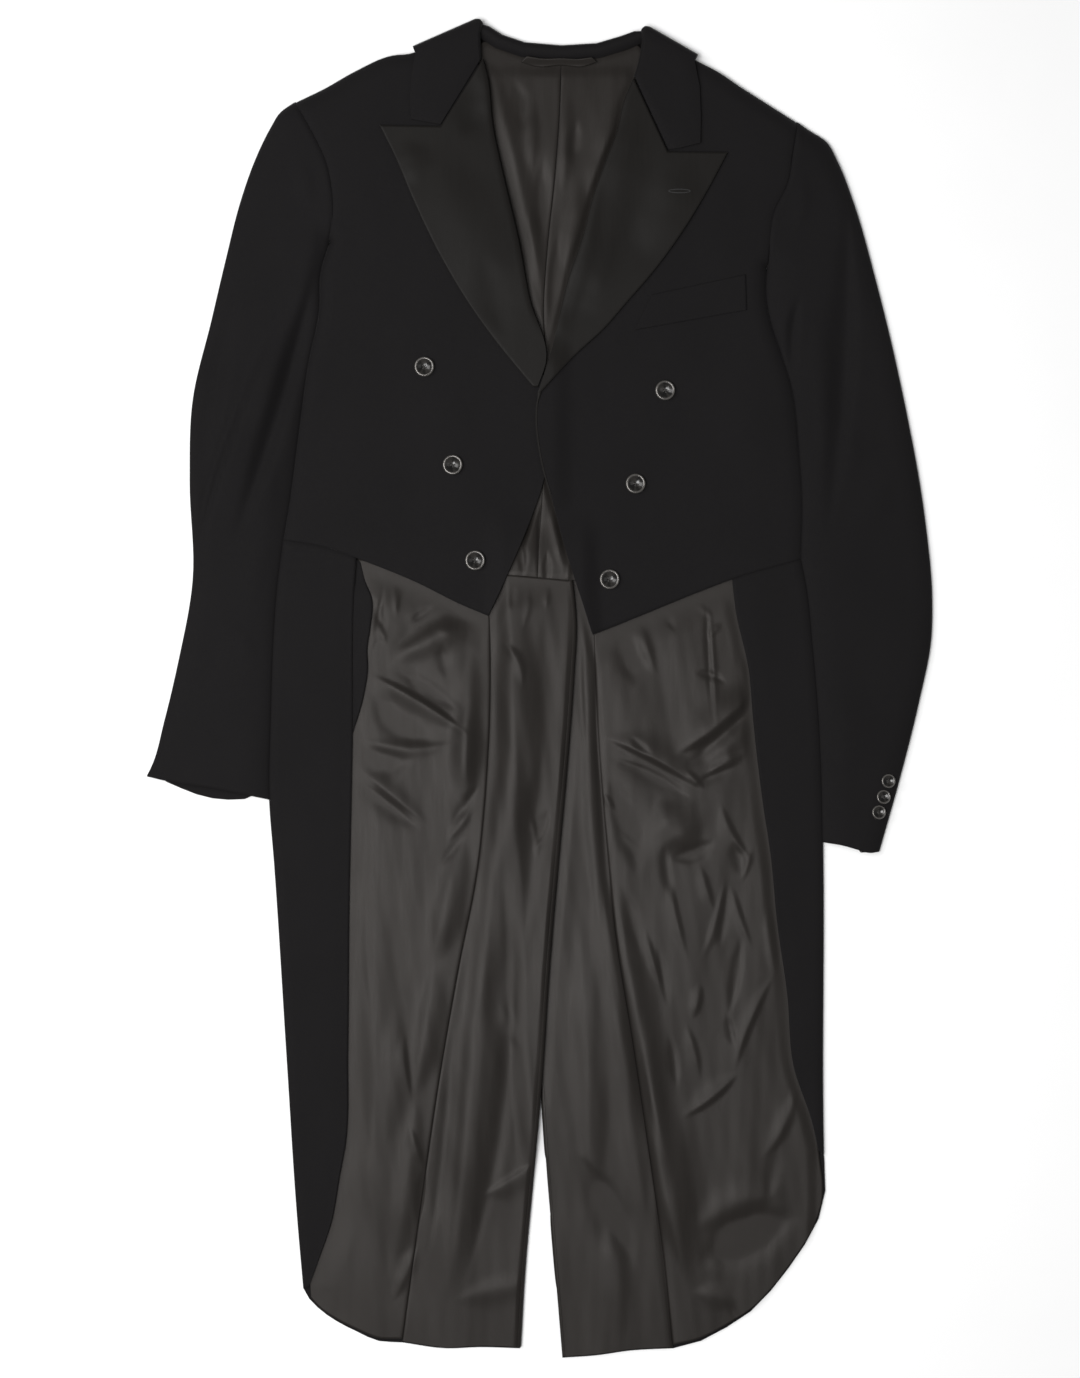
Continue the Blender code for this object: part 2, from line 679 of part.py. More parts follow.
def add_forepart(side):
    plan = front_plan(side)
    x, y = plan[..., 0], plan[..., 1]
    height = front_height(side, x, y)
    padded_above = PADDED_ABOVE + neck_lift(x, y) + lap_lift(side, x, y)
    padded_above = padded_above + vent_lift(x, y, *UNDER_FRONT_MARGINS)
    walls = np.maximum(FRONT_WOOL, height - padded_above)
    from_roll = distance_to(smooth_line(ROLL_LINE[side]), x, y)
    near_edge = smooth_step((from_roll - EDGE_FLAT) / EDGE_RAMP)
    walls = FRONT_WOOL + (walls - FRONT_WOOL) * near_edge
    across = plan.transpose(1, 0, 2)
    turned = under_edge(across, SHOULDER_TUCK, neck_lift, straight=True).transpose(1, 0, 2)
    grid = np.concatenate([turned, as_grid(plan, height)])
    walls = np.concatenate([np.full(turned.shape[:2], WOOL), walls])
    return add_cloth(f"forepart_{side}", grid, walls, WOOL_CLOTH)


def add_side_body(side):
    edge = along(smooth_line(SIDE_EDGE[side]), SIDE_DOWN)
    meeting = along(side_strip(side, -SEAM), SIDE_DOWN)
    plan = np.stack([edge, (edge + meeting) / 2, meeting], axis=1)
    top = as_grid(plan, front_height(side, plan[..., 0], plan[..., 1]))
    square = beside(edge, INWARD[side] * SIDE_TUCK)
    strip = np.concatenate([under_edge(np.stack([edge, square], axis=1), SIDE_TUCK), top], axis=1)
    waist = along(smooth_line(WAIST_UNDER[side]), (0.85, 0.7, 0.5, 0.3, 0.1, 0.03))
    waist = waist + (0, 2.6)
    seam = beside(smooth_line(BACK_SEAM[side]), -INWARD[side] * HIDDEN_SEAM)
    seam = along(seam, np.linspace(0.97, 0, 16))
    return add_flat(f"side_body_{side}", np.concatenate([waist, seam]), strip, WOOL, WOOL_CLOTH)


def shoulder_seam(side):
    """The straight seam between the back and the shoulder that the front turns under."""
    across = front_plan(side).transpose(1, 0, 2)
    return under_edge(across, SHOULDER_TUCK + HIDDEN_SEAM, straight=True)[:, 0, :2]


def back_plans(side):
    """The body and the tail of one back, from the centre out, which share their columns."""
    inward = INWARD[side]
    centre = beside(smooth_line(CENTRE_SEAM), -inward * SEAM / 2)
    seam = shoulder_seam(side)
    neck = smooth_line(NECK_SEAM[side])
    top = np.concatenate([neck, seam[[0, -1]]])
    arm = along(armhole_edge(side, SEAM), np.linspace(0.2, 0.88, 8))
    outer = np.concatenate(
        [seam[-1:], arm, beside(smooth_line(BACK_SEAM[side]), inward * SEAM / 2)[1:]]
    )
    bottom = np.stack([centre[-1], outer[-1]])
    body = patch(centre, outer, top, bottom, BACK_ACROSS, BACK_DOWN)
    vent = smooth_line(VENT[side])
    tail_seam = beside(smooth_line(TAIL_SEAM[side]), inward * SEAM / 2)
    hem = smooth_line(TAIL_HEM[side])
    start = np.stack([vent[0], tail_seam[0]])
    tail = patch(vent, tail_seam, start, hem, BACK_ACROSS, np.linspace(0, 1, TAIL_ROWS))
    return body, tail


def add_back(side):
    """The wool back and its two linings, which are made from its own points."""
    body, tail = back_plans(side)
    plan = np.concatenate([body, tail])
    level = back_level(side, plan[..., 0], plan[..., 1])
    add_cloth(f"back_{side}", as_grid(plan, level), WOOL, WOOL_CLOTH, outside_up=False)

    shown = inset(body, last_column=2, first_row=3)
    x, y = shown[..., 0], shown[..., 1]
    height = lining_height(side, neck_lift(x, y) + vent_lift(x, y), x, y)
    add_cloth(f"back_lining_{side}", as_grid(shown, height), LINING, LINING_CLOTH)

    shown = inset(tail, first_column=VENT_MARGIN, last_row=HEM_MARGIN)
    x, y = shown[..., 0], shown[..., 1]
    height = lining_height(side, back_level(side, x, y), x, y)
    add_cloth(f"tail_lining_{side}", as_grid(shown, height), LINING, LINING_CLOTH)


def skirt_top(side):
    """The waist seam above the skirt, through the points of the front's own bottom edge."""
    bottom = front_plan(side)[-1, ::-1]
    fold = smooth_line(SKIRT_FOLD[side])
    front = smooth_line(SKIRT_FRONT[side])
    between = bottom[np.abs(bottom[:, 0]) > abs(front[0, 0]) + 2] - (0, SEAM)
    return np.concatenate([fold[:1], between, front[:1]])


def add_skirt(side):
    down = np.linspace(0, 1, SKIRT_ROWS)
    fold = smooth_line(SKIRT_FOLD[side])
    front = smooth_line(SKIRT_FRONT[side])
    start = skirt_top(side)
    end = np.stack([fold[-1], front[-1]])
    across = lengths(start) / lengths(start)[-1]
    plan = patch(fold, front, start, end, across, down)
    top = as_grid(plan, skirt_height(side, plan[..., 0], plan[..., 1]))
    under = under_edge(plan, FOLD + 1)
    hem = along(smooth_line(SKIRT_HEM[side]), np.linspace(1, 0, 10))
    seam = beside(smooth_line(TAIL_SEAM[side]), -INWARD[side] * SEAM)
    seam = along(seam, np.linspace(1, 0, TAIL_ROWS))
    waist = along(smooth_line(WAIST_UNDER[side]), (0.3, 0.6, 0.85))
    outline = np.concatenate([hem[:-1], seam, waist])
    strip = np.concatenate([under, top], axis=1)
    add_flat(f"skirt_{side}", outline, strip, WOOL, WOOL_CLOTH)


def add_skirt_lining(side):
    seam = beside(smooth_line(TAIL_SEAM[side]), -INWARD[side] * SEAM)
    outer = smooth_line(LINING_EDGE[side])
    hem = smooth_line(LINING_HEM[side])
    start = np.stack([seam[0], outer[0]])
    seam = along(seam, np.linspace(0, 0.995, 80))
    across = np.linspace(0, 1, SKIRT_LINING_ACROSS)
    plan = patch(seam, outer, start, hem, across, np.linspace(0, 1, TAIL_ROWS))
    height = lining_height(side, 0.0, plan[..., 0], plan[..., 1])
    add_cloth(f"skirt_lining_{side}", as_grid(plan, height), LINING, LINING_CLOTH)


def sleeve_inner(side):
    """The sleeve's inner edge, just outside the body's side down to the cuff."""
    body = smooth_line(SIDE_EDGE[side])
    skirt = smooth_line(SKIRT_FOLD[side])[1:]
    cuff_y = CUFF_TOP[side][-1].y
    cuff_x = np.interp(-cuff_y, -skirt[:, 1], skirt[:, 0])
    edge = np.concatenate([body, skirt[skirt[:, 1] > cuff_y + 1], [[cuff_x, cuff_y]]])
    return beside(edge, -INWARD[side] * SLEEVE_MARGIN)


def add_sleeve(side):
    start = armhole_edge(side, -SEAM / 2)
    outer = smooth_line(SLEEVE_OUTER[side])
    inner = sleeve_inner(side)
    end = smooth_line(CUFF_TOP[side])
    down = np.linspace(0, 1, SLEEVE_ROWS)
    plan = patch(outer, inner, start, end, SLEEVE_ACROSS, down)
    height = sleeve_height(side, plan[..., 0], plan[..., 1])
    walls = np.maximum(SLEEVE_WOOL, height - SLEEVE_PADDED_ABOVE)
    outer_fold = under_edge(plan, SLEEVE_TUCK)
    inner_fold = under_edge(plan[:, ::-1], SLEEVE_TUCK)[:, ::-1]
    grid = np.concatenate([outer_fold, as_grid(plan, height), inner_fold], axis=1)
    thin = np.full(outer_fold.shape[:2], WOOL)
    walls = np.concatenate([thin, walls, thin], axis=1)
    add_cloth(f"top_sleeve_{side}", grid, walls, WOOL_CLOTH)

    outer_seam = under_edge(plan, SLEEVE_TUCK + HIDDEN_SEAM)[:, 0, :2]
    inner_seam = under_edge(plan[:, ::-1], SLEEVE_TUCK + 2 * HIDDEN_SEAM)[:, 0, :2]
    top = along(armhole_edge(side, -HIDDEN_SEAM), np.linspace(0, 1, 16))
    clear = np.linalg.norm(top - top[0], axis=1) > SLEEVE_TUCK + 4
    clear &= np.linalg.norm(top - top[-1], axis=1) > SLEEVE_TUCK + 4
    cuff = along(smooth_line(CUFF_UNDER[side]), np.linspace(0, 1, 6))
    outline = np.concatenate([outer_seam, cuff, inner_seam[::-1], top[clear][::-1]])
    add_flat(f"under_sleeve_{side}", outline, None, WOOL, WOOL_CLOTH)


def add_lapel(side):
    """A satin facing: it lies on the front and rolls over its edge, down to the lining."""
    outer = smooth_line(LAPEL_EDGE[side])
    roll = smooth_line(ROLL_LINE[side] + [LAPEL_TIP[side]])
    notch = NOTCH[side]
    gorge = along(np.array([notch, roll[0]], float), np.linspace(0, 1, 12))
    peak = along(np.array([outer[0], notch], float), np.linspace(0, 1, 12))
    share = np.array(LAPEL_ACROSS)
    top_share = np.where(
        share <= LAPEL_CORNER,
        share / LAPEL_CORNER * 0.5,
        0.5 + (share - LAPEL_CORNER) / (1 - LAPEL_CORNER) * 0.5,
    )
    top = np.where(
        (top_share <= 0.5)[:, None], along(peak, top_share * 2), along(gorge, top_share * 2 - 1)
    )
    down = np.linspace(0, 1, LAPEL_ROWS)
    end = along(np.stack([outer[-1], roll[-1]]), share)
    plan = span(along(outer, down), along(roll, down), top, end, share, down)
    x, y = plan[..., 0], plan[..., 1]
    tip = smooth_step((down - 0.72) / 0.14)
    crown = 1 - round_off(distance_to(roll, x, y), LAPEL_ROLL_ROUND)
    height = chest_height(side, x, y) + LAPEL_LIFT + SATIN
    height = height - LAPEL_ROLL_DROP * crown * (1 - tip[:, None])
    lifts = neck_lift(x, y)[:, -1] + vent_lift(x, y)[:, -1]
    low = WOOL + LAYER + LINING + 2 * LAYER + lifts
    low = low + (height[:, -1] - 0.8 - low) * tip
    tucked = plan[:, -1] + (plan[:, -2] - plan[:, -1]) * 0.1
    rolled = np.column_stack([tucked, low])[:, None]
    grid = np.concatenate([as_grid(plan, height), rolled], axis=1)
    add_cloth(f"lapel_{side}", grid, SATIN, SATIN_CLOTH)


def collar_section(turn, length):
    """Places across the collar, from the neck seam over its fold to its free edge.

    Each is a distance towards the free edge and a depth under the outer side. The turn is 0 on
    the chest, where the stand hides under the fold, and 180 under the back of the neck.
    """
    back = (1 - math.cos(math.radians(turn))) / 2
    roll = 3.5 + 2.0 * back
    places = [
        (0.6 + 12.4 * back, -7.8 + 1.2 * back),
        (0.3 + (roll + 1.2) * back, -6.2 - (2 * roll - 7.0) * back),
        (0.1 + 0.3 * roll * back, -4.6 - (1.7 * roll - 4.6) * back),
        (0.0, -roll),
        (0.3 * roll, -0.3 * roll),
    ]
    for share in (0, 0.3, 0.65, 1):
        places.append((roll + (length - roll) * share, 0.0))
    return places


def collar_rows():
    """Stations along the collar with their turn, from the right gorge round to the left one."""
    rows = [(row, 0.0, None) for row in COLLAR_LEAF["R"]]
    turns = (0, 45, 90, 135, 180)
    for side, order in (("R", turns), ("L", turns[::-1])):
        fold, edge = COLLAR_TURN[side]
        line = np.array(COLLAR_TURN[side], float)
        way = (line[1] - line[0]) / np.linalg.norm(line[1] - line[0])
        outward = np.array((-way[1], way[0])) * -INWARD[side]
        if side == "L":
            rows += [(row, 180.0, None) for row in COLLAR_BACK]
        for turn in order:
            back = outward * COLLAR_HEIGHT / 2 * (math.sin(math.radians(turn)) - 1)
            station = Station(*(line[0] + back), *(line[1] + back))
            rows.append((station, float(turn), outward))
    rows += [(row, 0.0, None) for row in COLLAR_LEAF["L"][::-1]]
    return rows


def add_collar():
    grid = []
    for station, turn, outward in collar_rows():
        fold = np.array((station.fold_x, station.fold_y))
        edge = np.array((station.edge_x, station.edge_y))
        length = np.linalg.norm(edge - fold)
        way = (edge - fold) / length
        side = "R" if fold[0] < 18 else "L"
        up = (1 + math.cos(math.radians(turn))) / 2
        sideways = np.zeros(2) if outward is None else outward * math.sin(math.radians(turn))
        row = []
        for forward, depth in collar_section(turn, length):
            x, y = fold + way * forward
            top = chest_height(side, x, y) + LAPEL_LIFT + COLLAR_WOOL
            if outward is not None:
                top = COLLAR_HEIGHT
            x, y = np.array((x, y)) + sideways * depth
            row.append((x, y, up * top + depth * math.cos(math.radians(turn))))
        grid.append(row)
    add_cloth("collar", np.array(grid, float), COLLAR_WOOL, WOOL_CLOTH)


def add_on_front(name, side, corners, lift, wall, across, down):
    """A piece that lies on a front, between four corners in plan, from its points moved out."""
    a, b, c, d = (np.array(corner, float) for corner in corners)
    plan = patch(
        np.stack([a, d]), np.stack([b, c]), np.stack([a, b]), np.stack([d, c]),
        np.linspace(0, 1, across), np.linspace(0, 1, down),
    )
    height = front_height(side, plan[..., 0], plan[..., 1]) + lift + wall
    add_cloth(name, as_grid(plan, height), wall, WOOL_CLOTH)


def add_hanger_loop():
    upper = smooth_line(points((-9, 535.5), (18, 536.5), (42, 534.5)))
    lower = smooth_line(points((-13, 530), (-3, 526.5), (18, 527.5), (40, 526.5), (47, 531)))
    start = np.stack([upper[0], lower[0]])
    end = np.stack([upper[-1], lower[-1]])
    plan = patch(upper, lower, start, end, (0, 0.5, 1), np.linspace(0, 1, 10))
    slope = (plan[..., 1] - 526.5) / 10
    height = NECK_LIFT + WOOL + LAYER + LINING + 1.35 + 4.6 * smooth_step(slope)
    add_cloth("hanger_loop", as_grid(plan, height), LINING, LINING_CLOTH)


def add_skirt_facing():
    """The wool facing that shows beside the right skirt's front edge, on its lining."""
    edge = beside(smooth_line(SKIRT_FRONT["R"]), SEAM + 0.3)
    outer = along(edge, np.linspace(0.045, 0.225, 9))
    inner = smooth_line(points((-141.5, 77), (-143.5, 52), (-147.5, 15), (-152, -10), (-157, -30)))
    start = np.stack([outer[0], inner[0]])
    end = np.stack([outer[-1], inner[-1]])
    plan = patch(outer, inner, start, end, (0, 0.5, 1), np.linspace(0, 1, 9))
    height = WOOL + LAYER + LINING + 2 * LAYER + lining_waves("R", plan[..., 0], plan[..., 1])
    add_cloth("skirt_facing_R", as_grid(plan, height + LINING), LINING, WOOL_CLOTH)


def button_mesh(name, diameter):
    """A turned button with a raised rim, as the profile that a Screw modifier carries round."""
    radius = diameter / 2
    profile = (
        (0.0, 0.13), (0.52, 0.15), (0.76, 0.33), (0.9, 0.36), (1.0, 0.24), (0.86, 0.06),
        (0.55, 0.0), (0.0, 0.0),
    )
    mesh = bpy.data.meshes.new(name)
    places = [(x * radius * MM, 0, z * radius * MM) for x, z in profile]
    edges = [(i, i + 1) for i in range(len(profile) - 1)]
    mesh.from_pydata(places, edges, [])
    mesh.materials.append(BUTTON_PLASTIC)
    return mesh


def add_button(name, mesh, height, side, x, y):
    """A button that lies on the cloth whose height function is given, tilted as it is."""
    reach = 4.0
    middle = float(height(side, x, y))
    slope_x = (float(height(side, x + reach, y)) - float(height(side, x - reach, y))) / (2 * reach)
    slope_y = (float(height(side, x, y + reach)) - float(height(side, x, y - reach))) / (2 * reach)
    button = bpy.data.objects.new(name, mesh)
    COAT.objects.link(button)
    turned = button.modifiers.new("turned", "SCREW")
    turned.steps = BUTTON_STEPS
    turned.render_steps = BUTTON_STEPS
    turned.use_merge_vertices = True
    turned.merge_threshold = 0.00001
    turned.use_smooth_shade = True
    button.rotation_euler = (math.atan(slope_y), -math.atan(slope_x), 0)
    button.location = (x * MM, y * MM, (middle + SEAM + 0.2) * MM)


FRONT_BUTTONS = (
    ("R", -98, 273), ("R", -74, 190), ("R", -55, 109),
    ("L", 106, 253), ("L", 81, 174), ("L", 59, 93),
)
CUFF_BUTTONS = (("L", 295, -78), ("L", 291, -91.5), ("L", 287, -104.5))
WELT_CORNERS = ((95, 334), (174, 351), (175, 321), (80, 304))


def cloth_material(name, colour, roughness, sheen=0.0):
    made = bpy.data.materials.new(name)
    made.use_nodes = True
    shader = made.node_tree.nodes["Principled BSDF"]
    shader.inputs["Base Color"].default_value = (*colour, 1.0)
    shader.inputs["Roughness"].default_value = roughness
    shader.inputs["Metallic"].default_value = 0.0
    shader.inputs["Sheen Weight"].default_value = sheen
    return made


for leftover in list(bpy.data.objects):
    bpy.data.objects.remove(leftover, do_unlink=True)
COAT = bpy.data.collections.new("tailcoat")
bpy.context.scene.collection.children.link(COAT)
WOOL_CLOTH = cloth_material("wool", (0.015, 0.013, 0.014), 0.85, 0.2)
SATIN_CLOTH = cloth_material("lapel_satin", (0.024, 0.022, 0.02), 0.45)
LINING_CLOTH = cloth_material("lining_satin", (0.055, 0.053, 0.05), 0.38)
BUTTON_PLASTIC = cloth_material("button_plastic", (0.01, 0.01, 0.01), 0.15)

for SIDE in SIDES:
    add_back(SIDE)
    add_side_body(SIDE)
    add_forepart(SIDE)
    add_skirt(SIDE)
    add_skirt_lining(SIDE)
    add_sleeve(SIDE)
    add_lapel(SIDE)
add_collar()
add_hanger_loop()
add_on_front("breast_welt", "L", WELT_CORNERS, SEAM, LINING, 6, 3)
add_skirt_facing()
FRONT_MESH = button_mesh("front_button", FRONT_BUTTON)
CUFF_MESH = button_mesh("cuff_button", CUFF_BUTTON)
for NUMBER, (SIDE, X, Y) in enumerate(FRONT_BUTTONS, 1):
    add_button(f"front_button_{NUMBER}", FRONT_MESH, front_height, SIDE, X, Y)
for NUMBER, (SIDE, X, Y) in enumerate(CUFF_BUTTONS, 1):
    add_button(f"cuff_button_{NUMBER}", CUFF_MESH, sleeve_height, SIDE, X, Y)
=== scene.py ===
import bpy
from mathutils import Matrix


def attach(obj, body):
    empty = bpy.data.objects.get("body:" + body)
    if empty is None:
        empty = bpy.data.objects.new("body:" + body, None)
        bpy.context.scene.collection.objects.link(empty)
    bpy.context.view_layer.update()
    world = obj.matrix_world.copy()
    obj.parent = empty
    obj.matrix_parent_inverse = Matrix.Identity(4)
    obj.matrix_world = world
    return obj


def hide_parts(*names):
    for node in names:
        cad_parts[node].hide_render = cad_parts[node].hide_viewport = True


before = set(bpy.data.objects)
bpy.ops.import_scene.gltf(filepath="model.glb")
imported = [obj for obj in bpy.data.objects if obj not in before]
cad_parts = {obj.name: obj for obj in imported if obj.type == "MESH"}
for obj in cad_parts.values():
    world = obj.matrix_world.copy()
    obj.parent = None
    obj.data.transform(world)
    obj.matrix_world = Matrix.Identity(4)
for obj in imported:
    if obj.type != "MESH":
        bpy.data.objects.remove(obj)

"""The look of a man's evening tailcoat that lies flat on its back, front up.

Every table and every size below is in millimetres: x towards the wearer's left, y towards the
collar, z up from the table. The panels follow the same lines as the solids, with finer points,
softened edges and the creases that the photo shows.
"""

import math
from collections import namedtuple

import bmesh
import bpy
import numpy as np
from mathutils import Matrix, Vector

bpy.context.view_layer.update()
MM = 0.001
SIDES = ("R", "L")
INWARD = {"R": 1, "L": -1}

# Cloth walls
WOOL = 1.6
COLLAR_WOOL = 2.0
LINING = 1.0
SATIN = 1.8

# Clearances
SEAM = 0.03
HIDDEN_SEAM = 0.4
UNDERLAP = 1.2
SEAM_ALLOWANCE = 1.6
LAYER = 0.5
LAPEL_LIFT = 0.7
BUTTON_LIFT = 0.5
FACING_GAP = 0.3
FLOOR_DROP = 0.4

# How far the side body's underside ends above the waist seam, how far the sleeve's hidden seam
# allowance lies under the sleeve, how far the under sleeve's top keeps from the tucks, and how
# thick the lapel's edge is at its tip
WAIST_GAP = 2.6
ALLOWANCE_DROP = 0.3
SLEEVE_CLEAR = 4.0
LAPEL_TIP_WALL = 0.8

# Heights of the outer side of the cloth above the table
FOLD = 3.0
WAIST_HEIGHT = 6.2
SHOULDER_RISE = 5.2
SLEEVE_HEIGHT = 7.8
SKIRT_HEIGHT = 5.5
SKIRT_EDGE_HEIGHT = 5.1
COLLAR_HEIGHT = 13.8
VENT_LIFT = 4.2
NECK_LIFT = 2.7
LAP_LIFT = 3.2

# How far the linings lie off the wool on average, and how softly they bend where they touch it
LOOSE = 1.2
SOFT_BEND = 0.4

# How far a folded panel runs on underneath, and at which share of that its direction is taken
SHOULDER_TUCK = 18.0
SLEEVE_TUCK = 15.0
SKIRT_TUCK = 4.0
SIDE_TUCK = 6.0
TUCK_AIM = 0.7
FOLD_ANGLES = (90, 75, 60, 45, 30, 15)

# How wide the edges of a panel are rounded
SHOULDER_ROUND = 16.0
SIDE_ROUND = 14.0
SLEEVE_OUTER_ROUND = 18.0
SLEEVE_INNER_ROUND = 26.0
SKIRT_ROUND = 9.0
LAPEL_ROLL_ROUND = 5.0
LAPEL_ROLL_DROP = 1.6

# How far the front's edges keep from the side fold and from the lapel's roll, and how far the
# sleeve's inner edge runs inside the body's side
SIDE_STRIP = 1.2
ROLL_MARGIN = 5.0
SLEEVE_OVERLAP = 0.8

# Margins that a lining leaves at a free edge or seam, and how far it runs on under the collar
VENT_MARGIN = 2.2
HEM_MARGIN = 1.4
BACK_LINING_MARGIN = 2.0
NECK_LAP = 2.5

# How much wider the fronts rise over the vent than the cloth under them
UNDER_FRONT_MARGINS = (4.0, 14.0)

# A height rises from a start over a width, which is negative where it rises the other way
Ramp = namedtuple("Ramp", "start width")
CHEST_RAMP = Ramp(150, 330)
WAIST_RAMP = Ramp(60, 60)
NECK_RAMP = Ramp(8, 90)
ARMHOLE_RAMP = Ramp(0, 120)
SKIRT_EDGE_RAMP = Ramp(0, 15)
VENT_UNDER_EDGE = Ramp(-26, 18)
VENT_OVER_EDGE = Ramp(3, 18)
VENT_TOP = Ramp(142, -38)
VENT_END = Ramp(-430, 60)
LAP_SIDE = Ramp(10, 20)
LAP_TOP = Ramp(302, -30)
LAP_END = Ramp(140, 26)
FOLD_START = Ramp(0, 0.42)
FOLD_END = Ramp(1, -0.42)
UNDER_FRONT_RAMP = Ramp(-3, -26)
BESIDE_SKIRT = {"R": Ramp(1, 24), "L": Ramp(1, 10)}
BESIDE_VENT = {"R": Ramp(0, -6), "L": Ramp(1, 9)}
BELOW_VENT = Ramp(-330, -30)
BESIDE_OPENING = Ramp(-1, 7)
BELOW_NECK = Ramp(529, -10)
LAPEL_TIP_RAMP = Ramp(0.72, 0.14)
HANGER_RAMP = Ramp(526.5, 10)
FACING_RAMP = Ramp(94, -14)

# How wide a fold is at its ends, as a share of its width in the middle
FOLD_TAPER = 0.35

# The width and the depth of the groove that the cloth makes beside a seam or an edge
FRONT_ARMHOLE_GROOVE = (8, 1.4)
SLEEVE_ARMHOLE_GROOVE = (4, 1.4)
WAIST_GROOVE = (2.5, 0.7)
CENTRE_SEAM_GROOVE = (3, 0.8)
LAPEL_GROOVE = (2, 0.7)
FACING_GROOVE = (2.5, 0.6)
TAIL_SEAM_GROOVE = {"R": (3.0, 0.7), "L": (6.5, 1.9)}

# The satin that runs on from the left lapel's tip as a fine line down the front's edge
PIPING_ROWS = 60
PIPING_WIDTH = 1.3
PIPING_LIFT = 0.5
PIPING_SHIFT = 0.5
PIPING_DEPTH = 1.2
PIPING_FADE = Ramp(0, 9)

# The facing beside the right skirt's edge: the share of that edge's length, and how far it dips
# at its upper end
FACING_SHARE = 0.235
FACING_DIP = 1.5

# The hanger loop's lower edge off the back lining, and how much higher its upper edge is
HANGER_LIFT = 1.35
HANGER_RISE = 4.6

# The left lapel's buttonhole: half its length and width, and the stitches' radius and lift
BUTTONHOLE_HALF = (9.0, 1.5)
STITCH_RADIUS = 0.75
STITCH_LIFT = 0.1

# Diameters of the buttons, and where the rim band that is painted lighter as a highlight starts and
# ends, as shares of the radius
FRONT_BUTTON = 17.0
CUFF_BUTTON = 12.0
PAINTED_RIM_HIGHLIGHT = (0.73, 0.87)

# The outline of half a button's section: radius and height as shares of its radius
BUTTON_PROFILE = (
    (0, 0.1), (0.1, 0.104), (0.2, 0.117), (0.3, 0.138), (0.4, 0.168), (0.5, 0.206), (0.6, 0.253),
    (0.68, 0.3), (0.74, 0.335), (0.8, 0.365), (0.86, 0.378), (0.91, 0.365), (0.95, 0.33),
    (0.985, 0.27), (1.0, 0.2), (0.985, 0.12), (0.92, 0.05), (0.8, 0.01), (0.6, 0.0), (0, 0.0),
)

# Which side and place a button has, and how far it is turned
Button = namedtuple("Button", "side x y turn")
FRONT_BUTTONS = (
    Button("R", -98, 273, 10), Button("R", -74, 190, 55), Button("R", -55, 109, 25),
    Button("L", 106, 253, 70), Button("L", 81, 174, 35), Button("L", 59, 93, 5),
)
CUFF_BUTTONS = (
    Button("L", 295, -78, 20), Button("L", 291, -91.5, 60), Button("L", 287, -104.5, 40),
)

# The camera's height in metres, the photo's height in pixels, the size of a pixel on the coat and
# the height of the camera's sensor
CAMERA_HEIGHT = 2.6
PHOTO_HEIGHT = 1378
PIXEL = 0.85 * MM
SENSOR = 36.0

XY = namedtuple("XY", "x y")


def points(*pairs):
    """Places in plan, by x and y."""
    return [XY(*pair) for pair in pairs]


# Edges in plan, each a smooth curve through x, y points. They run from the collar down or from the
# middle out, and the cuffs from the sleeve's outer edge in
SHOULDER = {
    "R": points((-61, 559.5), (-78, 552.6), (-101, 541.8), (-112, 538.5), (-124, 537.5),
                (-157, 524), (-183, 509.5), (-208, 497.5)),
    "L": points((97.5, 552.5), (113.2, 545), (129.5, 534.8), (138, 530), (148, 525), (171, 510),
                (195, 495), (218, 480.5)),
}
ARMHOLE = {
    "R": points((-208, 497.5), (-192, 470), (-181, 446), (-176, 419), (-176, 400), (-179, 380)),
    "L": points((218, 480.5), (214, 454), (210, 429), (198, 403), (195, 380), (193, 358)),
}
SIDE_EDGE = {
    "R": points((-179, 380), (-187, 352), (-188, 322), (-197, 278), (-206, 213), (-214, 153),
                (-218.5, 126.5)),
    "L": points((193, 358), (192, 337), (196, 312), (205, 285), (213, 260), (221, 194),
                (223, 165), (222, 109.5)),
}
SKIRT_FOLD = {
    "R": points((-218.6, 125.8), (-224, 83), (-227, 39), (-229, -20), (-230, -95), (-226, -146),
                (-215, -316), (-206, -452), (-201, -509)),
    "L": points((222.1, 108.8), (226, 90), (232, 35), (236, -11), (239, -68), (240.5, -146),
                (240.5, -367), (241, -395)),
}
FRONT_EDGE_ABOVE = {
    "R": points((-61, 559.5), (-57, 548)),
    "L": points((97.5, 552.5), (92, 538)),
}
FRONT_EDGE_BELOW = {
    "R": points((4, 262), (8, 238), (7, 205), (2, 172), (-6, 149), (-28, 96), (-44, 62)),
    "L": points((2, 258), (-3, 230), (3, 186), (9, 165), (22, 117), (45, 46)),
}
FRONT_BOTTOM = {
    "R": points((-44, 62), (-67, 72), (-104, 91), (-142, 107), (-176, 119.6), (-212, 126.3)),
    "L": points((45, 46), (60, 52), (84, 62), (134, 83), (167, 95.5), (200, 105), (215.5, 109.3)),
}
ROLL_LINE = {
    "R": points((-48, 533), (-44, 517), (-40, 478), (-30, 431), (-18, 380), (-9, 332), (5, 277)),
    "L": points((79, 517), (71, 498), (65, 472), (57, 451), (44, 414), (36, 383), (24, 348),
                (9, 284), (4, 268)),
}
LAPEL_TIP = {"R": XY(-2, 256), "L": XY(-1.5, 252)}
LAPEL_EDGE = {
    "R": points((-136, 477), (-124, 453), (-107, 413), (-89, 375), (-68, 338), (-38, 295),
                (-6, 256)),
    "L": points((159, 454), (143, 424), (118, 383), (95, 352), (75, 329), (54, 305), (30, 283),
                (1.5, 252)),
}
NOTCH = {"R": XY(-84, 476), "L": XY(108, 454.5)}
CENTRE_SEAM = points((18, 531), (17, 498), (13, 439), (6, 371), (3, 320), (4, 290), (2, 168),
                     (-1, 121), (-2, 97.5))
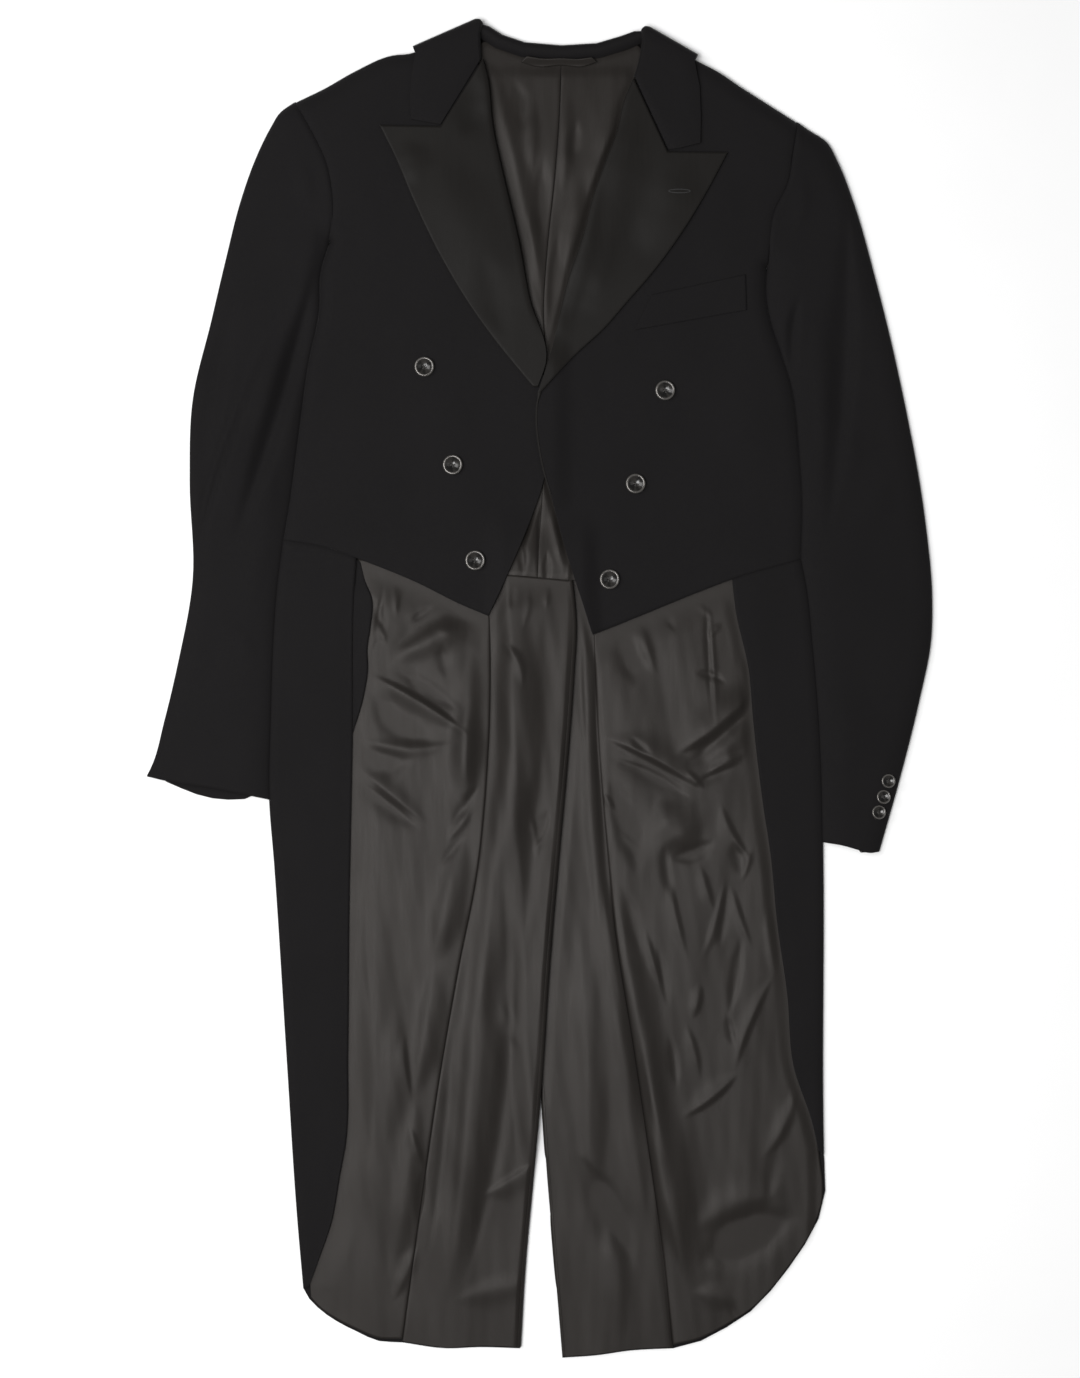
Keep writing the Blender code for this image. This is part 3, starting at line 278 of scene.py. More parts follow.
NECK_SEAM = {
    "R": points((18, 531), (-15, 535), (-32, 541), (-46, 547)),
    "L": points((18, 531), (51, 534), (71, 539), (82, 544)),
}
BACK_SEAM = {
    "R": points((-176, 393), (-150, 330), (-112, 245), (-72, 170), (-45, 102)),
    "L": points((194, 372), (165, 318), (120, 240), (77, 165), (46, 99)),
}
TAIL_SEAM = {
    "R": points((-45, 98.5), (-42.5, 50), (-44, -57), (-54, -161), (-68, -232), (-85, -329),
                (-103, -453), (-117, -555)),
    "L": points((46, 95.5), (46, 46), (50, -45), (57, -134), (65, -212), (79, -300), (90, -374),
                (105, -482), (113, -560)),
}
VENT = {
    "R": points((27, 92), (30, 57), (28, 12), (23, -57), (16, -134), (7, -241), (0, -345),
                (-6, -414), (-13, -492), (-17, -560)),
    "L": points((-18, 92), (-13, -20), (-7, -140), (2, -355), (6, -414), (11, -472), (19, -568)),
}
TAIL_HEM = {
    "R": points((-17, -560), (-51, -559), (-81, -560), (-117, -555)),
    "L": points((19, -568), (48, -566), (76, -562), (113, -560)),
}
SKIRT_HEM = {
    "R": points((-117, -555), (-140, -553), (-153, -547), (-171, -538), (-187, -527), (-196, -518)),
    "L": points((113, -560), (136, -554), (162, -540), (181, -527), (201, -505), (218, -482),
                (234, -456), (241, -436), (242.5, -418), (241.5, -402)),
}
SKIRT_FRONT = {
    "R": points((-156, 111), (-158, 80), (-159, -34), (-162, -193), (-163, -309), (-165, -387),
                (-170, -414), (-177, -453), (-187, -482), (-196, -507)),
    "L": points((163, 93), (166, 67), (177, 17), (181, -28), (189, -96), (196, -143),
                (201, -196), (210, -261), (215, -319), (231, -368), (236.5, -392)),
}
LINING_EDGE = {
    "R": points((-169, 112), (-173, 35), (-175, -161), (-176, -309), (-179, -387), (-183, -425),
                (-189, -465), (-195.5, -500), (-194.5, -517)),
    "L": points((174, 96), (184, 40), (194, -28), (208, -143), (222, -261), (230, -330),
                (235, -372), (237.5, -400), (240, -418), (239.2, -436), (232.8, -455), (217, -481),
                (200, -503.9)),
}
LINING_HEM = {
    "R": points((-116.6, -553.6), (-139.5, -551.6), (-153, -545.6), (-171, -536.5), (-187, -525.3),
                (-194.5, -517)),
    "L": points((113, -558.6), (135.4, -552.6), (161.2, -538.7), (180.1, -525.6), (200, -503.9)),
}
# The inner edge of the facing beside the right skirt's front edge
FACING_EDGE = points((-152, 107), (-148, 91), (-142.5, 76), (-144, 52), (-146.5, 34), (-146, 17),
                     (-150, -8), (-159, -38))
# The lower edge of the back linings, as the x and the y of its points
WAIST_SEAM = ((-45, -2, 27, 46), (98.5, 94.7, 92.1, 95.5))
WAIST_UNDER = {
    "R": points((-45, 98.5), (-130, 111), (-218.5, 124)),
    "L": points((46, 95.5), (130, 101), (222, 107)),
}
SLEEVE_OUTER = {
    "R": points((-209.2, 497.7), (-221, 489), (-228.5, 477), (-242, 449), (-254, 415), (-267, 364),
                (-279, 313), (-295, 245), (-297.5, 177), (-295, 92), (-307, 24), (-319, -27),
                (-330, -66), (-334, -74)),
    "L": points((219.2, 480.7), (227, 475), (243.5, 464), (253, 447), (265.5, 415), (285, 347),
                (309, 245), (327, 143), (333, 75), (332, 41), (322, -10), (305, -78),
                (288, -138)),
}
CUFF_TOP = {
    "R": points((-334, -74), (-317, -78), (-280, -84), (-255, -89), (-231.5, -94)),
    "L": points((288, -138), (280, -139), (269, -136), (259, -133), (241.7, -130)),
}
CUFF_UNDER = {
    "R": points((-317, -79), (-302, -85.5), (-285, -91.5), (-267, -94), (-251, -93.5)),
    "L": points((270, -136), (266, -134.6), (262, -132.8)),
}
# The hanger loop's upper and lower edge
HANGER_LOOP = (
    points((-11, 535.5), (4, 533.4), (18, 533.8), (32, 533.2), (44, 534.5)),
    points((-16, 531), (-3, 527.5), (18, 528.6), (36, 527.5), (48, 531)),
)
# The breast welt's corners and the middle of the buttonhole
WELT_CORNERS = points((95, 334), (174, 351), (175, 321), (80, 304))
BUTTONHOLE = XY(118, 421)

# Where the folds of the linings may start, below the lower edge of the fronts
UNDER_FRONTS = points((-170, 112), (-100, 86), (-50, 58), (-36, 74), (-27, 96), (27, 96), (36, 70),
                      (45, 42), (100, 66), (170, 92))

# What each piece was cut to, all round where it is folded: width and length in millimetres, area
# in square centimetres
Cut = namedtuple("Cut", "width length area")

# The collar's shoulder ends, on the coat's outline
COLLAR_TURN = {
    "R": points((-51, 570), (-108, 545)),
    "L": points((89, 564), (134, 538)),
}

# The collar's fall where it lies under the neck, one row across it for each station
Station = namedtuple("Station", "fold_x fold_y edge_x edge_y")
COLLAR_LEAF = {
    "R": (
        Station(-49.5, 534, -84.3, 477.6), Station(-49.8, 541, -109, 482),
        Station(-50.3, 549, -110, 500), Station(-50.3, 556, -108.5, 520),
    ),
    "L": (
        Station(79.6, 519, 108.8, 456.4), Station(81.3, 524, 118, 457.6),
        Station(83, 530, 135.6, 462), Station(85, 540, 136, 485), Station(86.5, 549, 135, 510),
    ),
}
COLLAR_BACK = (
    Station(-43, 562, -88, 512), Station(-32, 555, -58, 501), Station(-13, 548.6, -22, 500),
    Station(18, 546, 18, 499), Station(48, 547.8, 57, 500), Station(69, 554, 92, 509),
    Station(80, 558, 118, 522),
)
# The outline of what the collar covers behind the neck
NECK_ZONE = [
    *COLLAR_TURN["R"], XY(-105, 538), *(XY(row.edge_x, row.edge_y) for row in COLLAR_BACK),
    XY(131, 532), *COLLAR_TURN["L"][::-1], XY(69, 555), XY(18, 546), XY(-34, 556),
]

# A fold is a bump along a line from x0, y0 to x1, y1, bowed at its middle and as wide as left and
# right of that line, seen in its direction
Fold = namedtuple("Fold", "x0 y0 x1 y1 bow left right height")


def folds(*rows):
    """A table of folds."""
    return [Fold(*row) for row in rows]


SLEEVE_FOLDS = {
    "R": folds(
        (-190, 372, -238, 190, -6, 12, 14, 1.6), (-210, 330, -294, 96, -5, 40, 6, 6.8),
        (-188, 366, -262, 118, 4, 9, 7, -6.8), (-238, 272, -294, 106, -7, 3.5, 6, -3.2),
        (-252, 350, -290, 130, -8, 9, 15, -3.6), (-190, 398, -212, 300, 4, 8, 10, 1.6),
        (-262, 300, -284, 200, 3, 12, 14, 0.9), (-255, 60, -285, -60, 0, 22, 22, 0.8),
        (-226, 200, -250, 60, 4, 10, 16, 1.0), (-270, 60, -240, 20, 2, 7, 10, 0.7),
        (-205, 450, -196, 404, 3, 6, 9, 0.9),
    ),
    "L": folds(
        (214, 334, 206, 262, -6, 8, 8, 1.6), (259, 424, 242, 118, 8, 7, 12, -4.2),
        (222, 338, 216, 258, -5, 4, 5, -2.4), (232, 330, 240, 180, 4, 12, 10, 1.4),
        (300, 190, 246, 120, 8, 14, 14, 0.9), (262, 30, 255, -90, 2, 16, 16, 0.7),
        (222, 440, 216, 380, 3, 6, 9, 1.0), (240, 250, 268, 170, 5, 10, 14, 0.8),
    ),
}
FRONT_FOLDS = {
    "R": folds(
        (-70, 470, -150, 330, 0, 40, 40, 0.9), (-150, 300, -175, 160, 6, 26, 26, 0.8),
        (-60, 230, -75, 110, 0, 24, 24, 0.6),
    ),
    "L": folds(
        (150, 440, 165, 330, 0, 30, 24, 0.9), (178, 300, 188, 170, -6, 22, 22, 0.8),
        (70, 230, 62, 100, 0, 24, 24, 0.6),
    ),
}
LINING_FOLDS = {
    "R": folds(
        (-74, 70, -127, 33, 2, 7, 9, -1.8), (-44, 57, -130, 17, -9, 13, 10, 3.6),
        (-84, 41, -79, 7, 0, 5, 5, -1), (-147, 14, -56, -42, 3, 2.2, 9, 2.7),
        (-125, 17, -62, -23, 2, 6, 6, -1.5), (-62, -10, -66, -95, -3, 7, 9, 1.8),
        (-147, 4, -85, -47, -9, 14, 12, -2.9), (-161, -40, -66, -45, -8, 5, 7, 1.3),
        (-159, -54, -105, -61, -4, 11, 12, -2.1), (-164, -71, -98, -122, 1, 2.5, 10, -1.9),
        (-161, -64, -93, -119, 2, 8, 2.2, 1.3), (-57, 33, -59, -100, -3, 12, 9, 3.2),
        (-51, -81, -76, -117, 0, 3, 5, -1.2), (-62, -122, -85, -151, 0, 3, 4, -0.8),
        (-56, -100, -79, -130, 0, 4, 4, 1.2), (-64, -120, -93, -239, 1, 14, 10, 3.5),
        (-147, -163, -142, -273, -3, 2.2, 5, 0.6), (-123, -265, -132, -392, 2, 12, 10, 1.3),
        (-115, -290, -108, -350, -3, 2.2, 7, 1), (-112, -367, -98, -409, 0, 2.5, 5, 1.1),
        (-98, -401, -105, -460, 1, 2.5, 4, -1.1), (-88, -222, -107, -350, 2, 12, 8, 2.9),
        (-103, -333, -129, -511, 3, 11, 9, 2.2), (-146, -146, -139, -520, 4, 26, 16, 2.8),
        (-102, -469, -125, -520, 0, 5, 7, 1.2), (-151, 84, -132, 41, 3, 5, 6, -1.4),
        (-139, 84, -146, 24, 2, 3, 4, 1), (-115, 96, -122, 70, 0, 3, 3, 0.9),
        (-161, 75, -142, -61, -4, 5, 4, 1.3), (-132, 95, -144, 36, 2, 2.2, 2.4, -1.0),
        (-123, 98, -122, 60, 0, 2.4, 2.4, 1.2), (-86, 74, -112, 56, 1, 2.2, 3, -1.3),
        (-141, 62, -130, 36, 1, 2.2, 3.4, 1.1), (-24, 88, -36, -171, 6, 23, 14, 6.4),
        (6, 75, 0, -78, 0, 9, 8, -0.9), (24, 77, 17, -146, -1, 4, 7, 0.9),
        (-34, 41, -15, -1, 7, 3.5, 4, 1.2), (3, -44, -17, -231, 0, 8, 10, -1.7),
        (-28, -44, -52, -290, 1, 23, 12, 5.3), (7, -100, -8, -137, 3, 2.5, 6, -1.3),
        (-10, -105, -3, -147, 3, 4, 3, 0.9), (17, -112, -1, -333, 1, 5, 9, 1),
        (-22, -205, -66, -511, 12, 6, 8, -1.2), (-52, -188, -81, -528, 8, 20, 11, 5.3),
        (-74, -273, -98, -494, 5, 4, 5, -1), (-51, -431, 0, -399, -2, 3, 10, 1.2),
        (-34, -265, -17, -307, 0, 6, 6, 0.7), (-74, -520, 0, -503, 2, 8, 10, 1),
        (-8, -426, -11, -511, 0, 5, 6, 0.8), (7, 91, 5, 67, 0, 2.5, 2.5, 0.8),
        (-22, 92, -24, 65, 0, 2.5, 2.5, -0.8), (-10, 87, -15, 50, 2, 3, 3, 0.7),
        (-56, -1, -66, -120, -2, 8, 12, 2.2),
    ),
    "L": folds(
        (38, 58, 53, -231, -3, 7, 6, 2), (32, 67, 40, -61, -2, 3, 4, -1.2),
        (45, 41, 62, -231, -2, 4, 3, -1.3), (48, -146, 80, -358, 2, 9, 12, 3.2),
        (57, -231, 92, -469, 0, 9, 11, 2.5), (33, -180, 43, -435, 3, 16, 10, 2.7),
        (28, -392, 80, -496, 8, 9, 16, -2.6), (57, -435, 70, -554, 0, 9, 10, 1.2),
        (65, 58, 82, -1, 3, 12, 9, -2.1), (82, 65, 99, 11, -1, 4, 7, 1.5),
        (106, 72, 116, 48, -2, 4, 3, -1.1), (140, 84, 147, -35, 0, 2.5, 2.2, -1.1),
        (144, 75, 150, -39, 0, 2.2, 3, 1), (131, 75, 147, 60, 0, 2.5, 2.5, 0.8),
        (155, 57, 140, 41, 0, 2.2, 3, 0.8), (130, 14, 159, 4, 3, 3, 3.5, -1.2),
        (170, 33, 181, -10, 0, 5, 4, 1.3), (187, -5, 116, -71, 5, 8, 6, -1.6),
        (186, 6, 111, -57, 5, 6, 17, 4.7), (177, -23, 136, -62, 3, 12, 8, 3.1),
        (75, -39, 96, -57, 0, 2.2, 4, -1), (50, -40, 138, -86, 5, 14, 3, 2.8),
        (57, -57, 131, -95, 4, 2.4, 8, -1.5), (123, -68, 140, -86, 0, 2.2, 3, 1.1),
        (128, -86, 170, -64, 3, 2.4, 6, -1.2), (140, -76, 177, -54, 3, 4, 5, 1.3),
        (55, -69, 84, -163, 5, 13, 10, -2.8), (51, -86, 65, -105, 0, 2.2, 3, 0.8),
        (67, -120, 85, -137, 0, 2.2, 3, 0.7), (99, -91, 136, -137, -5, 18, 16, 3.9),
        (109, -144, 150, -127, -4, 6, 6, -1.9), (106, -127, 113, -180, -1, 2.2, 5, -1.2),
        (109, -153, 126, -231, -2, 2.2, 6, 1.3), (135, -147, 148, -190, 0, 2.2, 5, 1),
        (153, -95, 181, -147, -4, 2.2, 6, 1.3), (181, -134, 170, -166, 0, 2.2, 5, 1),
        (162, -127, 172, -163, 2, 4, 5, -1.3), (157, -159, 136, -231, 3, 5, 2.2, 1.2),
        (159, -163, 152, -222, 1, 3, 5, -1.3), (162, -163, 181, -222, -2, 2.2, 5, 1.1),
        (172, -205, 159, -282, 2, 2.2, 5, -1.7), (193, -180, 201, -248, 0, 3, 5, 1.1),
        (89, -202, 104, -255, -1, 2.2, 4, 1.2), (99, -214, 109, -273, 0, 4, 2.2, -1),
        (68, -163, 85, -231, 3, 5, 6, -1.4), (65, -171, 106, -401, 0, 12, 7, 3.7),
        (91, -316, 128, -511, -4, 18, 9, 4.8), (159, -273, 165, -306, 0, 2.2, 4, -1.1),
        (200, -241, 164, -328, -4, 2.2, 6, 1.5), (170, -324, 119, -365, 3, 2.2, 8, 1.7),
        (136, -248, 128, -282, 2, 2.4, 5, 1.1), (123, -282, 136, -334, 2, 2.4, 5, 1.1),
        (109, -290, 116, -341, 2, 2.4, 4, -1), (218, -336, 187, -401, 5, 4, 7, 1.3),
        (203, -384, 193, -435, 0, 6, 6, -0.8), (133, -489, 221, -445, 4, 18, 16, -3.9),
        (128, -460, 204, -426, 4, 14, 12, 1.8), (128, -511, 170, -520, 0, 8, 8, 1),
        (159, -520, 172, -542, 0, 3, 3, -0.6),
    ),
}
BACK_FOLDS = {
    "R": folds(
        (-40, 527, 2, 343, 0, 8, 5, 2.5), (-22, 519, -15, 466, 3, 5, 5, -2.1),
        (-8, 504, -7, 432, 0, 5, 5, 1.7), (3, 458, 1, 377, 0, 5, 5, -2),
        (-10, 415, 1, 330, 0, 5, 5, 1.5), (-17, 533, 5, 522, 0, 3, 3, -1.2),
        (-5, 156, -13, 94, 0, 7, 5, 1.8), (-17, 126, -14, 97, 0, 4, 3, -1.8),
        (1, 170, -1, 89, 0, 4, 3, -1.8),
    ),
    "L": folds(
        (24, 509, 19, 415, 0, 7, 5, 2), (31, 485, 27, 442, 0, 4, 4, -2),
        (63, 500, 38, 402, 2, 12, 8, 2.4), (82, 519, 68, 482, 0, 6, 5, -2.1),
        (36, 436, 19, 351, 0, 8, 6, 2.1), (17, 394, 8, 305, 0, 5, 4, -1.8),
        (11, 164, 24, 94, -2, 7, 5, 2.2), (6, 118, 6, 87, 0, 2.6, 2.6, -2),
        (29, 113, 23, 93, 0, 3, 2.4, 1.8), (17, 126, 23, 99, 2, 4, 4, -1.5),
    ),
}
LAPEL_FOLDS = {
    "R": folds(
        (-61, 526, -59, 466, 3, 10, 14, -1.0), (-74, 476, -34, 485, 0, 10, 10, -0.6),
        (-93, 458, -29, 305, 4, 26, 26, 1.4), (-51, 373, -29, 296, 0, 14, 12, -1.1),
        (-114, 466, -102, 424, 0, 12, 12, 1.1),
    ),
    "L": folds(
        (85, 492, 62, 407, -4, 12, 16, 1.2), (102, 458, 51, 330, 4, 18, 14, -1.6),
        (39, 364, 26, 296, -3, 14, 16, -1.4), (128, 449, 85, 364, 0, 22, 18, 1.4),
        (51, 424, 23, 305, 0, 8, 10, 1.4),
    ),
}


def finer(shares, cuts):
    """The same shares with each space between two of them cut into this many."""
    at = np.arange((len(shares) - 1) * cuts + 1) / cuts
    return np.interp(at, np.arange(len(shares)), shares)


def even(count):
    """This many shares from 0 to 1, evenly spaced."""
    return np.linspace(0, 1, count)


# Where a panel's columns and rows of points lie, as shares of its width and length
FRONT_ACROSS = finer((0, 0.01, 0.05, 0.12, 0.24, 0.4, 0.57, 0.74, 0.88, 0.96, 0.99, 1), 6)
SLEEVE_ACROSS = finer((0, 0.01, 0.03, 0.1, 0.22, 0.38, 0.55, 0.72, 0.86, 0.96, 0.99, 1), 5)
SIDE_DOWN = finer((0.012, 0.05, 0.12, 0.2, 0.28, 0.37, 0.46, 0.56, 0.66, 0.75, 0.84, 0.92, 1), 8)
BACK_ACROSS = finer((0, 0.02, 0.1, 0.22, 0.34, 0.48, 0.62, 0.8, 0.97, 1), 8)
LAPEL_ACROSS = finer((0, 0.01, 0.03, 0.15, 0.3, 0.44, 0.6, 0.75, 0.87, 0.95, 0.985, 1), 4)
LAPEL_CORNER = 0.44
BACK_ROWS = 151
SLEEVE_ROWS = 180
SKIRT_ROWS = 150
TAIL_ROWS = 370
LAPEL_ROWS = 130
SKIRT_LINING_ACROSS = 92
# Which part of a seam a hidden edge follows, in how many points
BACK_ARM = np.linspace(0.2, 0.88, 40)
SIDE_SEAM = np.linspace(0.97, 0, 16)
SKIRT_SEAM = np.linspace(0, 0.995, 400)
# How many points the smaller pieces have across and down, and the round ones all round
WELT_POINTS = (60, 24)
HANGER_POINTS = (9, 60)
FACING_POINTS = (12, 80)
BUTTON_STEPS = 48
HOLE_STEPS = 12
BUTTONHOLE_STEPS = 48
STITCH_STEPS = 8
# The wool back lies plain under its linings, so it has every third row and fourth column
PLAIN = (slice(None, None, 3), slice(None, None, 4))
# Points between two knots of a smooth line
LINE_STEPS = 8


# Lines and panels in plan


def unit(ways):
    """The same directions with a length of one."""
    return ways / np.linalg.norm(ways, axis=-1, keepdims=True)


def lengths(line):
    """How far along the line each of its points is."""
    return np.concatenate([[0], np.cumsum(np.linalg.norm(np.diff(line, axis=0), axis=1))])


def along(line, share):
    """Points at shares of the length of a line of points."""
    line = np.asarray(line, float)
    at = lengths(line)
    share = np.asarray(share, float) * at[-1]
    return np.stack([np.interp(share, at, line[:, axis]) for axis in (0, 1)], axis=-1)


def smooth_line(knots):
    """A smooth curve through the knots, as a line of many points."""
    knots = np.array(knots, float)
    at = lengths(knots)
    slopes = np.gradient(knots, at, axis=0)
    t = np.linspace(0, 1, LINE_STEPS, endpoint=False)[:, None]
    made = []
    for i, gap in enumerate(np.diff(at)):
        made.append(
            knots[i] * (1 + 2 * t) * (1 - t) ** 2
            + slopes[i] * gap * t * (1 - t) ** 2
            + knots[i + 1] * t * t * (3 - 2 * t)
            + slopes[i + 1] * gap * t * t * (t - 1)
        )
    return np.concatenate(made + [knots[-1:]])


def beside(line, distance):
    """The line moved sideways, to its left where the distance is positive."""
    forward = unit(np.gradient(line, axis=0))
    return line + np.stack([-forward[:, 1], forward[:, 0]], axis=1) * distance


def curve(table, side, inwards=0.0):
    """One side's line of a table, moved towards the middle of the coat by this much."""
    return beside(smooth_line(table[side]), INWARD[side] * inwards)


def x_at(line, y):
    """Where a line that runs down the coat is at each y."""
    return np.interp(y, line[::-1, 1], line[::-1, 0])


def span(side_a, side_b, top, bottom, across, down):
    """Points in plan between two sides, which it keeps to, and two ends as curved as these."""
    u = np.reshape(across, (1, -1, 1))
    v = np.reshape(down, (-1, 1, 1))
    top_curve = top[None] - (1 - u) * top[:1] - u * top[-1:]
    bottom_curve = bottom[None] - (1 - u) * bottom[:1] - u * bottom[-1:]
    sides = (1 - u) * side_a[:, None] + u * side_b[:, None]
    return sides + (1 - v) * top_curve + v * bottom_curve


def patch(side_a, side_b, across, down, start=None, end=None):
    """Points in plan of a panel between two sides, whose ends are straight where none is given.

    The start and the end run from side a to side b.
    """
    if start is None:
        start = np.stack([side_a[0], side_b[0]])
    if end is None:
        end = np.stack([side_a[-1], side_b[-1]])
    return span(
        along(side_a, down), along(side_b, down), along(start, across), along(end, across),
        across, down,
    )


def inset(plan, first_column=0, last_column=0, first_row=0, last_row=0):
    """The same panel with its outer columns and rows moved in by these distances."""
    plan = plan.copy()
    for margin, edge, inner in (
        (first_column, np.s_[:, 0], np.s_[:, 1]),
        (last_column, np.s_[:, -1], np.s_[:, -2]),
        (first_row, np.s_[0], np.s_[1]),
        (last_row, np.s_[-1], np.s_[-2]),
    ):
        if margin:
            plan[edge] = plan[edge] + unit(plan[inner] - plan[edge]) * margin
    return plan


# Heights


def rise(value, ramp):
    """Rises smoothly from 0 to 1 over the ramp."""
    share = np.clip((value - ramp.start) / ramp.width, 0, 1)
    return share * share * (3 - 2 * share)


def distance_to(line, x, y):
    """How far each x, y is from a line of points."""
    nearest = np.full(np.shape(x), np.inf)
    for (ax, ay), (bx, by) in zip(line[:-1], line[1:]):
        dx, dy = bx - ax, by - ay
        share = np.clip(((x - ax) * dx + (y - ay) * dy) / (dx * dx + dy * dy), 0, 1)
        nearest = np.minimum(nearest, np.hypot(x - ax - share * dx, y - ay - share * dy))
    return nearest


def inside(line, x, y):
    """Whether each x, y is inside a closed outline."""
    found = np.zeros(np.shape(x), bool)
    for (ax, ay), (bx, by) in zip(line, np.roll(line, -1, axis=0)):
        if ay != by:
            found ^= ((ay > y) != (by > y)) & (x < (bx - ax) * (y - ay) / (by - ay) + ax)
    return found


def fold_height(rows, x, y):
    """The sum of the folds in a table."""
    total = np.zeros(np.shape(x))
    for row in rows:
        dx, dy = row.x1 - row.x0, row.y1 - row.y0
        length = math.hypot(dx, dy)
        share = ((x - row.x0) * dx + (y - row.y0) * dy) / length**2
        aside = (dx * (y - row.y0) - dy * (x - row.x0)) / length
        aside = aside - row.bow * 4 * share * (1 - share)
        ends = rise(share, FOLD_START) * rise(share, FOLD_END)
        width = np.where(aside > 0, row.left, row.right) * (FOLD_TAPER + (1 - FOLD_TAPER) * ends)
        total = total + row.height * ends * np.exp(-((aside / width) ** 2))
    return total


def round_off(line, x, y, width):
    """Rises from 0 at a line to 1 at this width from it, as a quarter of an ellipse."""
    share = np.clip(distance_to(line, x, y) / width, 0, 1)
    return np.sqrt(1 - (1 - share) ** 2)


def groove(line, x, y, width, depth):
    """How much lower the cloth is beside a seam or an edge along this line."""
    return depth * (1 - round_off(line, x, y, width))


def vent_lift(x, y, margin=0.0, margin_above=0.0):
    """How far the right tail lies above the table, where the left tail is under it."""
    near = rise(x - x_at(curve(VENT, "L"), y) + margin, VENT_UNDER_EDGE)
    beyond = 1 - rise(x - x_at(curve(VENT, "R"), y) - margin, VENT_OVER_EDGE)
    return VENT_LIFT * near * beyond * rise(y - margin_above, VENT_TOP) * rise(y, VENT_END)


def neck_lift(x, y):
    """How far the coat lies above the table, where the collar is under it."""
    away = distance_to(NECK_ZONE + NECK_ZONE[:1], x, y)
    away = np.where(inside(NECK_ZONE, x, y), 0, away)
    return NECK_LIFT * (1 - rise(away, NECK_RAMP))


def back_level(side, x, y):
    """The height of the outer side of the back."""
    return neck_lift(x, y) + (vent_lift(x, y) if side == "R" else 0)


def lap_lift(side, x, y):
    """How far the left front lies higher where it laps over the right one."""
    if side == "R":
        return 0.0
    return LAP_LIFT * (1 - rise(x, LAP_SIDE)) * rise(y, LAP_TOP) * rise(y, LAP_END)


def chest_height(side, x, y):
    """The height of the front's outer side before its edges are rounded."""
    height = WAIST_HEIGHT + SHOULDER_RISE * rise(y, CHEST_RAMP)
    height = height + vent_lift(x, y, *UNDER_FRONT_MARGINS) + lap_lift(side, x, y)
    return height + fold_height(FRONT_FOLDS[side], x, y)


def front_height(side, x, y):
    """The height of the front's outer side."""
    low = neck_lift(x, y) + FOLD
    rounded = round_off(curve(SHOULDER, side), x, y, SHOULDER_ROUND)
    rounded = rounded * round_off(curve(SIDE_EDGE, side), x, y, SIDE_ROUND)
    height = low + (chest_height(side, x, y) - low) * rounded
    height = height - groove(curve(ARMHOLE, side), x, y, *FRONT_ARMHOLE_GROOVE)
    return height - groove(curve(FRONT_BOTTOM, side), x, y, *WAIST_GROOVE)


def sleeve_height(side, x, y):
    """The height of the sleeve's outer side."""
    armhole = curve(ARMHOLE, side)
    near_body = 1 - rise(distance_to(armhole, x, y), ARMHOLE_RAMP)
    height = SLEEVE_HEIGHT + (chest_height(side, x, y) - SLEEVE_HEIGHT) * near_body
    height = height + fold_height(SLEEVE_FOLDS[side], x, y)
    outer = round_off(curve(SLEEVE_OUTER, side), x, y, SLEEVE_OUTER_ROUND)
    inner = round_off(sleeve_inner(side), x, y, SLEEVE_INNER_ROUND)
    height = FOLD + (height - FOLD) * outer * inner
    return height - groove(armhole, x, y, *SLEEVE_ARMHOLE_GROOVE)


def skirt_height(side, x, y):
    """The height of the part of the skirt that is folded over the front."""
    off_edge = rise(distance_to(curve(SKIRT_FRONT, side), x, y), SKIRT_EDGE_RAMP)
    height = SKIRT_EDGE_HEIGHT + (SKIRT_HEIGHT - SKIRT_EDGE_HEIGHT) * off_edge
    height = height + (WAIST_HEIGHT - height) * rise(y, WAIST_RAMP)
    return FOLD + (height - FOLD) * round_off(curve(SKIRT_FOLD, side), x, y, SKIRT_ROUND)


def ripples(x, y):
    """Slight unevenness of thin cloth, longer down the coat than across it."""
    wide = 0.55 * np.sin(x / 13 + y / 45 + 1.5 * np.sin(y / 70)) * np.sin(y / 38 - x / 60)
    long = 0.16 * np.sin(x / 5.1 + 1.3 * np.sin(y / 47)) * np.sin(y / 61 + x / 23)
    fine = 0.08 * np.sin(x / 2.3 + y / 31) * np.sin(y / 17 + 2.0 * np.sin(x / 19))
    return wide + long + fine


def loose_height(rows, seam, seam_groove, x, y):
    """How far a lining with these folds and this seam lies off the wool, never under it."""
    height = LOOSE + fold_height(rows, x, y) + ripples(x, y) - groove(seam, x, y, *seam_groove)
    return (height + np.hypot(height, SOFT_BEND)) / 2


def lining_waves(side, x, y):
    """The folds of the linings, which die out under the fronts, the skirts and the vent."""
    shown = rise(y - np.interp(x, *zip(*UNDER_FRONTS)), UNDER_FRONT_RAMP)
    from_skirt = INWARD[side] * (x - x_at(curve(SKIRT_FRONT, side), y))
    shown = shown * rise(from_skirt, BESIDE_SKIRT[side])
    beside_vent = rise(x - x_at(curve(VENT, "R"), y), BESIDE_VENT[side])
    if side == "L":
        beside_vent = np.maximum(beside_vent, rise(y, BELOW_VENT))
    seam = curve(TAIL_SEAM, side)
    height = loose_height(LINING_FOLDS[side], seam, TAIL_SEAM_GROOVE[side], x, y)
    return height * shown * beside_vent


